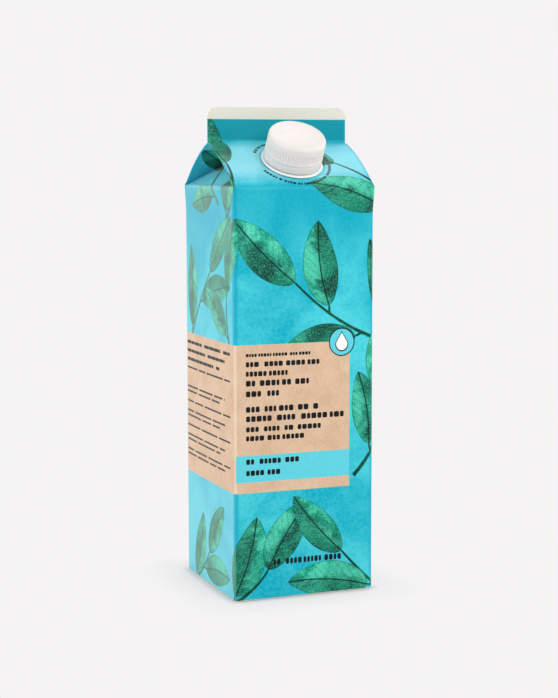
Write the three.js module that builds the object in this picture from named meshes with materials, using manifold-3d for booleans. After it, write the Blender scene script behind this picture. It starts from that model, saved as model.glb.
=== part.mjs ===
// A one quart gable-top carton for liquid soap, with a screw cap on its front roof panel.
// Millimetres, +Z up, origin at the centre of the base, cap side towards -Y.

import * as THREE from 'three';
import { mergeVertices } from 'three/addons/utils/BufferGeometryUtils.js';
import Module from 'manifold-3d';

const wasm = await Module();
wasm.setup();

// Carton
const CARTON_WIDTH = 70;          // left to right
const CARTON_DEPTH = 70;          // front to back
const BODY_HEIGHT = 192.1;        // floor to the score under the roof
const ROOF_SLANT = 41;            // roof score to ridge, along the panel
const BOARD = 0.55;               // one layer of coated board
const CORNER_RADIUS = 2.2;        // upright folds of the body
const CORNER_TAPER = 14;          // height over which the upright folds sharpen below the roof
const SCORE_RADIUS = 1.6;         // folds between walls and roof
const FOOT_RADIUS = 1.1;          // folds between walls and base
const ROOF_BOW_EDGE = 2.1;        // how far a roof panel bows out at its side edges
const ROOF_BOW_MIDDLE = 1.2;      // and in its middle, which the spout holds flatter
const BOW_POWER_EDGE = 2;         // plain arc at the side edges
const BOW_POWER_MIDDLE = 4;       // squarer in the middle
const NOSE_SHARE = 0.9;           // round nose of a folded edge, in board thicknesses
const SHARP_SHARE = 0.6;          // upright folds at the roof, in board thicknesses
const FIN_HEIGHT = 15.6;          // ridge to the top of the sealed fin
const FIN_STRIP = 5.6;            // two-layer strip along the top of the fin
const FIN_STRIP_OVERHANG = 0.3;   // strip past the folded layers, at each end
const FIN_CORNER = 4.4;           // die-cut corners of the strip
const FIN_LAP = 0.03;             // welded halves of the fin run into each other

// Base of the carton
const RIM_WIDTH = 1.7;            // folded rim that the carton stands on
const BASE_RECESS = 1.6;          // base flaps above the floor
const BASE_LAP = 9;               // outer base flap past the middle

// Spout, standing on a flat land that is pressed into the roof
const SPOUT_UP_ROOF = 19.8;       // spout axis from the roof score, along the panel
const LAND_PRESS = 0.4;           // land below the middle of the bowed panel
const LAND_MARGIN = 0.5;          // land past the flange
const FLANGE_LEDGE = 0.85;        // flange past the foot of the closure
const FLANGE_THICKNESS = 1.1;
const FLANGE_CHAMFER = 0.385;
const NECK_RADIUS = 11.2;
const NECK_WALL = 1.5;
const NECK_CHAMFER = 0.45;        // rim of the neck, inside and outside
const NECK_HEIGHT = 11.8;         // above the flange
const SOCKET_DEPTH = 3.4;         // hole in the roof under the land
const MEMBRANE_THICKNESS = 0.8;   // closes the bore, level with the flange, until it is torn out
const RING_BAR = 0.85;            // radius of the pull ring's bar
const RING_ROOM = 3.25;           // between the pull ring and the bore
const RING_LIFT = 4;              // middle of the pull ring above the membrane
const STEM_TOP_SHARE = 0.9;       // stem of the pull ring, in radii of its bar
const STEM_FOOT_SHARE = 1.5;
const BEAD_DEPTH = 1.05;          // bead that keeps the tamper band down
const BEAD_LIFT = 2.3;            // its underside above the flange
const BEAD_EDGE = 0.3;
const BEAD_SLOPE = 1.3;           // height of the ramp over the bead

// Thread
const THREAD_STARTS = 3;
const THREAD_LEAD = 9;
const THREAD_DEPTH = 1.05;
const THREAD_ROOT_WIDTH = 1.1;
const THREAD_CREST_WIDTH = 0.5;
const THREAD_CLEARANCE = 0.5;     // crest to the opposite wall
const THREAD_LIFT = 1.7;          // start of the neck's thread above the bead's ramp
const THREAD_TOP_MARGIN = 2.1;    // end of a thread below the rim or the crown
const THREAD_RUN_OUT = 2;         // facets over which a thread's ends run out
const THREAD_END_SHARE = 0.05;    // of a thread's depth, left at its ends

// Cap and tamper band
const CAP_DRAFT = 0.2;            // less radius at the shoulder
const CAP_CROWN = 1.2;            // thickness of the top
const CAP_WALL = 1;
const CAP_CHAMFER = 0.2;
const CROWN_ROOM = 0.7;           // between the crown and the rim of the neck
const SHOULDER_RADIUS = 1.9;
const BAND_OVER_BEAD = 1.4;       // top of the band above the bead's underside
const TEAR_GAP = 0.5;             // slit between band and cap
const BRIDGE_COUNT = 12;          // stubs of the tear-off bridges on the band
const BRIDGE_WIDTH = 0.8;
const BRIDGE_HEIGHT = 0.2;
const BAND_CHAMFER = 0.25;
const PLUG_LENGTH = 2.3;          // seal ring under the crown
const PLUG_WALL = 0.9;
const PLUG_CHAMFER = 0.3;
const RIB_COUNT = 72;
const RIB_DEPTH = 0.28;
const GROOVE_SHARE = 0.5;         // width of a groove in the pitch of the ribs
const RIB_TOP_MARGIN = 4.3;       // smooth band left below the top of the cap
const RIB_FOOT_MARGIN = 0.5;

// Clearances
const SEAT_GAP = 0.3;             // between pieces that rest on each other
const RUNNING_GAP = 0.4;          // between pieces that turn past each other

// Smoothness of round forms
const CAP_SEGMENTS = 72;
const ROUND_SEGMENTS = 48;
const THREAD_SEGMENTS = 24;       // facets of a thread in a full turn
const CURVE_STEPS = 4;
const FIN_CORNER_STEPS = 6;
const RING_SEGMENTS = 20;
const RING_BAR_SEGMENTS = 8;
const STEM_SEGMENTS = 12;
const ROOF_STEPS = 8;
const OVERSHOOT = 2;              // how far cutting bodies run past what they cut

// Carton values that follow from the sizes above
const HALF_WIDTH = CARTON_WIDTH / 2;
const HALF_DEPTH = CARTON_DEPTH / 2;
const ROOF_RISE = Math.sqrt(ROOF_SLANT ** 2 - HALF_DEPTH ** 2);
const RIDGE_HEIGHT = BODY_HEIGHT + ROOF_RISE;
const FIN_TOP = RIDGE_HEIGHT + FIN_HEIGHT;
const ROOF_PITCH = Math.atan2(ROOF_RISE, HALF_DEPTH);
const DOUBLE_BOARD = 2 * BOARD;
const LAND_HEIGHT = ROOF_BOW_MIDDLE - LAND_PRESS;

// Closure values that follow, with heights above the land
const BORE_RADIUS = NECK_RADIUS - NECK_WALL;
const BEAD_RADIUS = NECK_RADIUS + BEAD_DEPTH;
const CAP_INNER_RADIUS = NECK_RADIUS + THREAD_DEPTH + THREAD_CLEARANCE;
const CAP_RADIUS = CAP_INNER_RADIUS + CAP_WALL;
const FLANGE_RADIUS = CAP_RADIUS + FLANGE_LEDGE;
const RING_RADIUS = BORE_RADIUS - RING_ROOM - RING_BAR;
const FLANGE_TOP = SEAT_GAP + FLANGE_THICKNESS;
const NECK_TOP = FLANGE_TOP + NECK_HEIGHT;
const BEAD_BOTTOM = FLANGE_TOP + BEAD_LIFT;
const BEAD_TOP = BEAD_BOTTOM + BEAD_EDGE + BEAD_SLOPE;
const THREAD_BOTTOM = BEAD_TOP + THREAD_LIFT;
const BAND_BOTTOM = FLANGE_TOP + RUNNING_GAP;
const BAND_TOP = BEAD_BOTTOM + BAND_OVER_BEAD;
const CAP_BOTTOM = BAND_TOP + TEAR_GAP;
const CROWN_UNDERSIDE = NECK_TOP + CROWN_ROOM;
const CAP_TOP = CROWN_UNDERSIDE + CAP_CROWN;

// Turns a closed three.js geometry into a solid that can be joined and cut.
function toSolid(geometry) {
  const bare = new THREE.BufferGeometry();
  bare.setAttribute('position', geometry.getAttribute('position'));
  bare.setIndex(geometry.getIndex());
  const merged = mergeVertices(bare, 1e-4);
  const corners = merged.getIndex().array;
  const kept = [];
  for (let i = 0; i < corners.length; i += 3) {
    const [a, b, c] = corners.slice(i, i + 3);
    const flat = a === b || b === c || c === a;
    if (!flat) kept.push(a, b, c);
  }
  return new wasm.Manifold(new wasm.Mesh({
    numProp: 3,
    vertProperties: new Float32Array(merged.getAttribute('position').array),
    triVerts: new Uint32Array(kept),
  }));
}

function toGeometry(solid) {
  const mesh = solid.getMesh();
  const geometry = new THREE.BufferGeometry();
  geometry.setAttribute('position', new THREE.BufferAttribute(mesh.vertProperties, 3));
  geometry.setIndex(new THREE.BufferAttribute(mesh.triVerts, 1));
  geometry.computeVertexNormals();
  return geometry;
}

// Skins a row of convex sections with equal point counts, each anticlockwise seen from the far end.
function loft(sections) {
  const count = sections[0].length;
  const last = (sections.length - 1) * count;
  const index = [];
  for (let row = 0; row < sections.length - 1; row += 1) {
    for (let i = 0; i < count; i += 1) {
      const here = row * count + i;
      const next = row * count + (i + 1) % count;
      index.push(here, next, next + count, here, next + count, here + count);
    }
  }
  for (let i = 1; i < count - 1; i += 1) {
    index.push(0, i + 1, i);
    index.push(last, last + i, last + i + 1);
  }
  const geometry = new THREE.BufferGeometry().setFromPoints(sections.flat());
  geometry.setIndex(index);
  return toSolid(geometry);
}

function revolve(profile, segments = ROUND_SEGMENTS) {
  const points = profile.map(([radius, height]) => new THREE.Vector2(radius, height));
  return toSolid(new THREE.LatheGeometry(points, segments).rotateX(Math.PI / 2));
}

function cylinder(radius, bottom, top) {
  return revolve([[0, bottom], [radius, bottom], [radius, top], [0, top]]);
}

function box(width, depth, height, x, y, z) {
  return toSolid(new THREE.BoxGeometry(width, depth, height).translate(x, y, z));
}

// Places a body that was made about the spout's axis on the land of the roof.
function ontoRoof(solid) {
  const geometry = toGeometry(solid);
  geometry.applyMatrix4(spoutFrame());
  return toSolid(geometry);
}

function spoutFrame() {
  const along = SPOUT_UP_ROOF;
  const up = LAND_HEIGHT;
  const y = -HALF_DEPTH + along * Math.cos(ROOF_PITCH) - up * Math.sin(ROOF_PITCH);
  const z = BODY_HEIGHT + along * Math.sin(ROOF_PITCH) + up * Math.cos(ROOF_PITCH);
  return new THREE.Matrix4().makeRotationX(ROOF_PITCH).setPosition(0, y, z);
}

// How far the roof panel stands off its flat chord, and how square that bow is in the middle.
function roofBow(x, share) {
  const outward = (x / HALF_WIDTH) ** 2;
  const bow = THREE.MathUtils.lerp(ROOF_BOW_MIDDLE, ROOF_BOW_EDGE, outward);
  const power = THREE.MathUtils.lerp(BOW_POWER_MIDDLE, BOW_POWER_EDGE, outward);
  return bow * (1 - Math.abs(2 * share - 1) ** power);
}

// Point on a roof panel: share runs from the score (0) to the ridge (1), side is -1 in front.
function roofPoint(x, share, side, inset) {
  const along = share * ROOF_SLANT;
  const out = roofBow(x, share) - inset;
  const y = HALF_DEPTH - along * Math.cos(ROOF_PITCH) + out * Math.sin(ROOF_PITCH);
  const z = BODY_HEIGHT + along * Math.sin(ROOF_PITCH) + out * Math.cos(ROOF_PITCH);
  return new THREE.Vector2(side * Math.max(y, 0), z);
}

// Upright section through the carton at x, shrunk by an inset, from the back foot over the ridge.
function gableSection(x, inset) {
  const wall = HALF_DEPTH - inset;
  const firstShare = SCORE_RADIUS / ROOF_SLANT;
  const halves = [1, -1].map((side) => {
    const low = new THREE.Vector2(side * wall, BODY_HEIGHT - SCORE_RADIUS);
    const fold = new THREE.Vector2(side * wall, BODY_HEIGHT);
    const high = roofPoint(x, firstShare, side, inset);
    const score = new THREE.QuadraticBezierCurve(low, fold, high).getPoints(CURVE_STEPS);
    const panel = [];
    for (let step = 1; step < ROOF_STEPS; step += 1) {
      const share = THREE.MathUtils.lerp(firstShare, 1, step / ROOF_STEPS);
      panel.push(roofPoint(x, share, side, inset));
    }
    return [new THREE.Vector2(side * wall, -OVERSHOOT), ...score, ...panel];
  });
  const ridge = new THREE.Vector2(0, RIDGE_HEIGHT - inset / Math.cos(ROOF_PITCH));
  const outline = [...halves[0], ridge, ...halves[1].reverse()];
  return outline.map((point) => new THREE.Vector3(x, point.x, point.y));
}

// Stations from left to right, close together in the round noses of the folded roof edges.
function roofStations() {
  const ends = [0.06, 0.35, 1].map((share) => HALF_WIDTH - BOARD * share);
  const spans = [0.75, 0.5, 0.25].map((share) => (HALF_WIDTH - BOARD) * share);
  const half = [HALF_WIDTH, ...ends, ...spans];
  return [...half.map((x) => -x), 0, ...half.reverse()];
}

// Distance from the face of a folded edge to its round nose at x.
function noseInset(x) {
  const past = Math.max(Math.abs(x) - (HALF_WIDTH - BOARD), 0);
  return BOARD * NOSE_SHARE * (1 - Math.sqrt(Math.max(1 - (past / BOARD) ** 2, 0)));
}

function gableOuter() {
  return loft(roofStations().map((x) => gableSection(x, noseInset(x))));
}

function gableInner() {
  return loft(roofStations().map((x) => gableSection(x, DOUBLE_BOARD - noseInset(x))));
}

// Level ring of the body with round corners.
function squareRing(z, inset, radius) {
  const points = [];
  const centreX = HALF_WIDTH - inset - radius;
  const centreY = HALF_DEPTH - inset - radius;
  const corners = [[1, 1], [-1, 1], [-1, -1], [1, -1]];
  corners.forEach(([signX, signY], quarter) => {
    for (let step = 0; step <= CURVE_STEPS; step += 1) {
      const angle = (quarter + step / CURVE_STEPS) * Math.PI / 2;
      const x = signX * centreX + radius * Math.cos(angle);
      const y = signY * centreY + radius * Math.sin(angle);
      points.push(new THREE.Vector3(x, y, z));
    }
  });
  return points;
}

// Square blank with folded upright corners, which sharpen towards the roof.
function bodyBlank() {
  const sharp = BOARD * SHARP_SHARE;
  const rings = [];
  for (let step = 0; step <= CURVE_STEPS; step += 1) {
    const angle = (step / CURVE_STEPS) * Math.PI / 2;
    const inset = FOOT_RADIUS * (1 - Math.sin(angle));
    rings.push(squareRing(FOOT_RADIUS * (1 - Math.cos(angle)), inset, CORNER_RADIUS - inset));
  }
  rings.push(squareRing(BODY_HEIGHT - CORNER_TAPER, 0, CORNER_RADIUS));
  rings.push(squareRing(BODY_HEIGHT - CORNER_TAPER / 3, 0, (CORNER_RADIUS + sharp) / 2));
  rings.push(squareRing(BODY_HEIGHT, 0, sharp));
  rings.push(squareRing(FIN_TOP, 0, sharp));
  return loft(rings);
}

// Everything below the two end triangles, which lean in from the side scores to the ridge.
function underEndTriangles() {
  const reach = Math.min(HALF_DEPTH, HALF_WIDTH);
  const slope = ROOF_RISE / reach;
  const outer = HALF_WIDTH + OVERSHOOT;
  const low = BODY_HEIGHT - SCORE_RADIUS;
  const outline = new THREE.Shape();
  outline.moveTo(-outer, -OVERSHOOT);
  outline.lineTo(outer, -OVERSHOOT);
  outline.lineTo(outer, low);
  outline.lineTo(HALF_WIDTH, low);
  outline.quadraticCurveTo(HALF_WIDTH, BODY_HEIGHT,
    HALF_WIDTH - SCORE_RADIUS, BODY_HEIGHT + SCORE_RADIUS * slope);
  outline.lineTo(HALF_WIDTH - reach, RIDGE_HEIGHT);
  outline.lineTo(reach - HALF_WIDTH, RIDGE_HEIGHT);
  outline.lineTo(SCORE_RADIUS - HALF_WIDTH, BODY_HEIGHT + SCORE_RADIUS * slope);
  outline.quadraticCurveTo(-HALF_WIDTH, BODY_HEIGHT, -HALF_WIDTH, low);
  outline.lineTo(-outer, low);
  const depth = CARTON_DEPTH + 2 * OVERSHOOT;
  const geometry = new THREE.ExtrudeGeometry(outline, {
    depth,
    bevelEnabled: false,
    curveSegments: CURVE_STEPS,
  });
  return toSolid(geometry.rotateX(Math.PI / 2).translate(0, depth / 2, 0));
}

// One folded pair of layers in the fin, with round noses at its ends.
function finLeaf(side) {
  const bottom = RIDGE_HEIGHT - DOUBLE_BOARD;
  const outline = new THREE.Shape();
  const nose = BOARD * NOSE_SHARE;
  const inner = -FIN_LAP;
  const outer = DOUBLE_BOARD;
  outline.moveTo(-HALF_WIDTH + nose, inner);
  outline.lineTo(HALF_WIDTH - nose, inner);
  outline.quadraticCurveTo(HALF_WIDTH, inner, HALF_WIDTH, inner + nose);
  outline.lineTo(HALF_WIDTH, outer - nose);
  outline.quadraticCurveTo(HALF_WIDTH, outer, HALF_WIDTH - nose, outer);
  outline.lineTo(-HALF_WIDTH + nose, outer);
  outline.quadraticCurveTo(-HALF_WIDTH, outer, -HALF_WIDTH, outer - nose);
  outline.lineTo(-HALF_WIDTH, inner + nose);
  outline.quadraticCurveTo(-HALF_WIDTH, inner, -HALF_WIDTH + nose, inner);
  const geometry = new THREE.ExtrudeGeometry(outline, {
    depth: FIN_TOP - FIN_STRIP - bottom,
    bevelEnabled: false,
    curveSegments: CURVE_STEPS,
  });
  if (side < 0) geometry.rotateZ(Math.PI);
  return toSolid(geometry.translate(0, 0, bottom));
}

// The two-layer strip along the top, with die-cut corners.
function finStrip() {
  const half = HALF_WIDTH + FIN_STRIP_OVERHANG;
  const bottom = FIN_TOP - FIN_STRIP - BOARD;
  const outline = new THREE.Shape();
  outline.moveTo(-half, bottom);
  outline.lineTo(half, bottom);
  outline.lineTo(half, FIN_TOP - FIN_CORNER);
  outline.absarc(half - FIN_CORNER, FIN_TOP - FIN_CORNER, FIN_CORNER, 0, Math.PI / 2, false);
  outline.lineTo(FIN_CORNER - half, FIN_TOP);
  outline.absarc(FIN_CORNER - half, FIN_TOP - FIN_CORNER, FIN_CORNER, Math.PI / 2, Math.PI, false);
  const geometry = new THREE.ExtrudeGeometry(outline, {
    depth: DOUBLE_BOARD,
    bevelEnabled: false,
    curveSegments: FIN_CORNER_STEPS,
  });
  return toSolid(geometry.rotateX(Math.PI / 2).translate(0, BOARD, 0));
}

// Hollow under the base: a folded rim all round and the outer flap lapped over the inner one.
function baseRecess() {
  const ring = (z, inset) => squareRing(z, inset, CORNER_RADIUS - FOOT_RADIUS);
  const hollow = loft([
    ring(-OVERSHOOT, RIM_WIDTH + FOOT_RADIUS),
    ring(0, RIM_WIDTH + FOOT_RADIUS),
    ring(BASE_RECESS, RIM_WIDTH + FOOT_RADIUS + BOARD),
  ]);
  const flapDepth = HALF_DEPTH + BASE_LAP;
  const flap = box(CARTON_WIDTH, flapDepth, BOARD,
    0, flapDepth / 2 - HALF_DEPTH, BASE_RECESS - BOARD / 2);
  return hollow.subtract(flap);
}

function cartonSolid() {
  const recess = gableInner().subtract(underEndTriangles());
  const folded = gableOuter().intersect(bodyBlank()).subtract(recess);
  const fin = finLeaf(1).add(finLeaf(-1)).add(finStrip());
  const land = cylinder(FLANGE_RADIUS + LAND_MARGIN, 0, OVERSHOOT * 2);
  const socket = cylinder(NECK_RADIUS + SEAT_GAP, -SOCKET_DEPTH, OVERSHOOT);
  return folded.subtract(baseRecess())
    .subtract(ontoRoof(land.add(socket)))
    .add(fin);
}

// Helical ridge between two heights, with run-out ends; a negative depth points inwards.
function helicalRidge(wallRadius, depth, bottom, top, phase) {
  const turn = (top - bottom) / THREAD_LEAD;
  const steps = Math.ceil(turn * THREAD_SEGMENTS);
  const rooted = wallRadius - Math.sign(depth) * THREAD_DEPTH / 4;
  const wide = THREAD_ROOT_WIDTH / 2;
  const narrow = THREAD_CREST_WIDTH / 2;
  const sections = [];
  for (let step = 0; step <= steps; step += 1) {
    const share = step / steps;
    const angle = phase + share * turn * 2 * Math.PI;
    const height = THREE.MathUtils.lerp(bottom, top, share);
    const fromEnd = Math.min(step, steps - step);
    const runOut = THREE.MathUtils.clamp(fromEnd / THREAD_RUN_OUT, THREAD_END_SHARE, 1);
    const crest = wallRadius + depth * runOut;
    const quad = [[rooted, -wide], [crest, -narrow], [crest, narrow], [rooted, wide]];
    if (depth > 0) quad.reverse();
    sections.push(quad.map(([radius, lift]) => new THREE.Vector3(
      radius * Math.cos(angle), radius * Math.sin(angle), height + lift)));
  }
  return loft(sections);
}

function threadRidges(wallRadius, depth, bottom, top) {
  const ridges = [];
  for (let i = 0; i < THREAD_STARTS; i += 1) {
    ridges.push(helicalRidge(wallRadius, depth, bottom, top, i * 2 * Math.PI / THREAD_STARTS));
  }
  return ridges;
}

function pullRing() {
  const height = FLANGE_TOP + RING_LIFT;
  const torus = new THREE.TorusGeometry(RING_RADIUS, RING_BAR, RING_BAR_SEGMENTS, RING_SEGMENTS);
  const ring = toSolid(torus.translate(0, 0, height));
  const bottom = FLANGE_TOP - MEMBRANE_THICKNESS / 2;
  const length = height - bottom;
  const tapered = new THREE.CylinderGeometry(
    RING_BAR * STEM_TOP_SHARE, RING_BAR * STEM_FOOT_SHARE, length, STEM_SEGMENTS);
  const stem = toSolid(tapered.rotateX(Math.PI / 2)
    .translate(0, -RING_RADIUS, bottom + length / 2));
  return ring.add(stem);
}

function spoutSolid() {
  const foot = SEAT_GAP - SOCKET_DEPTH;
  const membraneBottom = FLANGE_TOP - MEMBRANE_THICKNESS;
  const body = revolve([
    [0, membraneBottom],
    [BORE_RADIUS, membraneBottom],
    [BORE_RADIUS, foot],
    [NECK_RADIUS, foot],
    [NECK_RADIUS, SEAT_GAP],
    [FLANGE_RADIUS - FLANGE_CHAMFER, SEAT_GAP],
    [FLANGE_RADIUS, SEAT_GAP + FLANGE_CHAMFER],
    [FLANGE_RADIUS, FLANGE_TOP - FLANGE_CHAMFER],
    [FLANGE_RADIUS - FLANGE_CHAMFER, FLANGE_TOP],
    [NECK_RADIUS, FLANGE_TOP],
    [NECK_RADIUS, BEAD_BOTTOM],
    [BEAD_RADIUS, BEAD_BOTTOM],
    [BEAD_RADIUS, BEAD_BOTTOM + BEAD_EDGE],
    [NECK_RADIUS, BEAD_TOP],
    [NECK_RADIUS, NECK_TOP - NECK_CHAMFER],
    [NECK_RADIUS - NECK_CHAMFER, NECK_TOP],
    [BORE_RADIUS + NECK_CHAMFER, NECK_TOP],
    [BORE_RADIUS, NECK_TOP - NECK_CHAMFER],
    [BORE_RADIUS, FLANGE_TOP],
    [0, FLANGE_TOP],
  ]);
  const end = NECK_TOP - THREAD_TOP_MARGIN;
  const ridges = threadRidges(NECK_RADIUS, THREAD_DEPTH, THREAD_BOTTOM, end);
  return [...ridges, pullRing()].reduce((solid, piece) => solid.add(piece), body);
}

// Ring left on the neck when the cap is first turned, with its stubs and inward catch.
function tamperBandSolid() {
  const inner = BEAD_RADIUS + RUNNING_GAP;
  const catchRadius = NECK_RADIUS + RUNNING_GAP;
  const catchTop = BEAD_BOTTOM - RUNNING_GAP;
  const ring = revolve([
    [catchRadius, BAND_BOTTOM + BAND_CHAMFER],
    [inner - BAND_CHAMFER, BAND_BOTTOM],
    [CAP_RADIUS - BAND_CHAMFER, BAND_BOTTOM],
    [CAP_RADIUS, BAND_BOTTOM + BAND_CHAMFER],
    [CAP_RADIUS, BAND_TOP],
    [inner, BAND_TOP],
    [inner, catchTop],
    [catchRadius, catchTop - BAND_CHAMFER],
    [catchRadius, BAND_BOTTOM + BAND_CHAMFER],
  ], CAP_SEGMENTS);
  const stubs = [];
  for (let i = 0; i < BRIDGE_COUNT; i += 1) {
    const stub = new THREE.BoxGeometry((CAP_RADIUS - inner) / 2, BRIDGE_WIDTH, 2 * BRIDGE_HEIGHT)
      .translate((CAP_RADIUS + inner) / 2, 0, BAND_TOP)
      .rotateZ((i + 0.5) * 2 * Math.PI / BRIDGE_COUNT);
    stubs.push(toSolid(stub));
  }
  return stubs.reduce((solid, stub) => solid.add(stub), ring);
}

function capOuter() {
  const top = CAP_RADIUS - CAP_DRAFT;
  const shoulder = [];
  for (let step = 0; step <= CURVE_STEPS + 1; step += 1) {
    const angle = (step / (CURVE_STEPS + 1)) * Math.PI / 2;
    shoulder.push([
      top - SHOULDER_RADIUS * (1 - Math.cos(angle)),
      CAP_TOP - SHOULDER_RADIUS * (1 - Math.sin(angle)),
    ]);
  }
  return revolve([
    [0, CAP_BOTTOM],
    [CAP_RADIUS - CAP_CHAMFER, CAP_BOTTOM],
    [CAP_RADIUS, CAP_BOTTOM + CAP_CHAMFER],
    ...shoulder,
    [0, CAP_TOP],
  ], CAP_SEGMENTS);
}

// Hollow of the cap, round the seal ring that plugs the bore of the spout.
function capHollow() {
  const plugRadius = BORE_RADIUS - RUNNING_GAP;
  const plugBottom = CROWN_UNDERSIDE - PLUG_LENGTH;
  return revolve([
    [0, CAP_BOTTOM - OVERSHOOT],
    [CAP_INNER_RADIUS, CAP_BOTTOM - OVERSHOOT],
    [CAP_INNER_RADIUS, CAP_BOTTOM],
    [CAP_INNER_RADIUS - CAP_DRAFT, CROWN_UNDERSIDE],
    [plugRadius, CROWN_UNDERSIDE],
    [plugRadius, plugBottom + PLUG_CHAMFER],
    [plugRadius - PLUG_CHAMFER, plugBottom],
    [plugRadius - PLUG_WALL, plugBottom],
    [plugRadius - PLUG_WALL, CROWN_UNDERSIDE],
    [0, CROWN_UNDERSIDE],
  ]);
}

// Fine upright grooves that leave the ribs between them.
function ribGrooves() {
  const bottom = CAP_BOTTOM + RIB_FOOT_MARGIN;
  const top = CAP_TOP - RIB_TOP_MARGIN;
  const halfAngle = Math.PI / RIB_COUNT * GROOVE_SHARE;
  const grooves = [];
  for (let i = 0; i < RIB_COUNT; i += 1) {
    const angle = (i + 0.5) * 2 * Math.PI / RIB_COUNT;
    const section = (z, depth) => {
      const outer = CAP_RADIUS + OVERSHOOT / 2;
      return [
        [outer, halfAngle], [CAP_RADIUS - depth, 0], [outer, -halfAngle],
      ].map(([radius, turn]) => new THREE.Vector3(
        radius * Math.cos(angle + turn), radius * Math.sin(angle + turn), z));
    };
    grooves.push(loft([section(bottom, RIB_DEPTH), section(top, RIB_DEPTH + CAP_DRAFT / 2)]));
  }
  return grooves;
}

function capSolid() {
  const halfPitch = THREAD_LEAD / THREAD_STARTS / 2;
  const wall = CAP_INNER_RADIUS - CAP_DRAFT / 2;
  const depth = wall - NECK_RADIUS - THREAD_CLEARANCE;
  const end = CROWN_UNDERSIDE - THREAD_TOP_MARGIN;
  const ridges = threadRidges(wall, -depth, THREAD_BOTTOM + halfPitch, end);
  const shell = capOuter().subtract(capHollow());
  const threaded = ridges.reduce((solid, ridge) => solid.add(ridge), shell);
  return ribGrooves().reduce((solid, groove) => solid.subtract(groove), threaded);
}

function makeMesh(name, solid, color, roughness) {
  const material = new THREE.MeshStandardMaterial({ color, roughness, metalness: 0 });
  const mesh = new THREE.Mesh(toGeometry(solid), material);
  mesh.name = name;
  return mesh;
}

const model = new THREE.Group();
model.add(makeMesh('carton', cartonSolid(), '#4cc9de', 0.35));

const closure = new THREE.Group();
closure.applyMatrix4(spoutFrame());
closure.add(makeMesh('spout', spoutSolid(), '#f4f3f0', 0.4));
closure.add(makeMesh('tamper_band', tamperBandSolid(), '#f3f1ee', 0.4));
closure.add(makeMesh('cap', capSolid(), '#f3f1ee', 0.4));
model.add(closure);

export default model;
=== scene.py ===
import math
import random

import bmesh
import bpy
import numpy as np
from mathutils import Matrix, Vector
from mathutils.geometry import delaunay_2d_cdt


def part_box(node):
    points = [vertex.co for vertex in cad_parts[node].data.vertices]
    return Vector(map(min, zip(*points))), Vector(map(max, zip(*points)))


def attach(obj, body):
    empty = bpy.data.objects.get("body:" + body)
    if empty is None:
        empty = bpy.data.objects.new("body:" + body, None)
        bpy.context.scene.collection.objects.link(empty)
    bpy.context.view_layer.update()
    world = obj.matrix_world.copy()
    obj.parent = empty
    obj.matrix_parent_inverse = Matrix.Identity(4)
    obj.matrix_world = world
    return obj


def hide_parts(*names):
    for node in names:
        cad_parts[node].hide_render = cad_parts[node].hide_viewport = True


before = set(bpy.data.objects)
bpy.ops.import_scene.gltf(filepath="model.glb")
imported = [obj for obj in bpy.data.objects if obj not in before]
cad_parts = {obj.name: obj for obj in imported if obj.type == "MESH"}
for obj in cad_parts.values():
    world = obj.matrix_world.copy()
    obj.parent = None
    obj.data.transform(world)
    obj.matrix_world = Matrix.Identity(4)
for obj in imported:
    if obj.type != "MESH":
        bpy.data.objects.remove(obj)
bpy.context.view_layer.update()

# Sizes are in millimetres, and meshes are turned into metres when they are made
METRE = 0.001

# Carton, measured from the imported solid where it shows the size
CARTON_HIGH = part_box("carton")[1] / METRE
HALF = CARTON_HIGH.y                 # half of the square body
WIDTH = 2 * HALF
FIN_TOP = CARTON_HIGH.z
BOARD = 0.55                         # one layer of coated board
DOUBLE_BOARD = 2 * BOARD
ROOF_SLANT = 41                      # roof score to ridge, along the panel
FIN_HEIGHT = 15.6                    # ridge to the top of the fin
FIN_STRIP = 5.6                      # two-layer strip along the top
STRIP_END = CARTON_HIGH.x            # strip stands a little past the folded layers
FIN_CORNER = 4.4                     # die-cut corners of the strip
CORNER_RADIUS = 2.2
CORNER_TAPER = 14
SCORE_RADIUS = 1.6
SCORE_SPREAD = 6                     # the score sharpens over this stretch towards a corner
RIDGE_ROUNDING = 1.2
FOOT_RADIUS = 1.1
BOW_EDGE = 2.1                       # how far a roof panel bows out at its side edges
BOW_MIDDLE = 1.2
BOW_POWER_EDGE = 2                   # a parabola at the side edges, flatter in the middle
BOW_POWER_MIDDLE = 4
BOW_END = 4                          # the bow dies out over this stretch below the ridge
WALL_BULGE = 0.45
NOSE_GROWTH = 4                      # height over which the folded roof edge reaches its full nose
RIM_WIDTH = 1.7                      # folded rim that the carton stands on
RIM_CHAMFER = 0.2
RIM_CHAMFER_HEIGHT = 0.25
BASE_RECESS = 1.6
BASE_LAP = 9                         # how far the outer base flap runs past the middle
FLAP_CORNER = 2
FLAP_GAP = 0.1
FOOT_BAND = 0.7                      # height of the bare board along the foot

ROOF_RISE = math.sqrt(ROOF_SLANT ** 2 - HALF ** 2)
PITCH = math.atan2(ROOF_RISE, HALF)
SLOPE_RUN = math.cos(PITCH)
SLOPE_RISE = math.sin(PITCH)
ROOF_START = FIN_TOP - FIN_HEIGHT - ROOF_RISE
LAYERS_TOP = FIN_TOP - FIN_STRIP
FOOT_ARC = FOOT_RADIUS * math.pi / 2
FOLD_ARC = BOARD * math.pi / 2       # half of the arc round a folded edge
INNER_SLANT = ROOF_SLANT - DOUBLE_BOARD * math.tan(PITCH)
STEP_ARC = 0.8                       # from the folded layers back to the strip
STEP_DROP = 0.35

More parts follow.
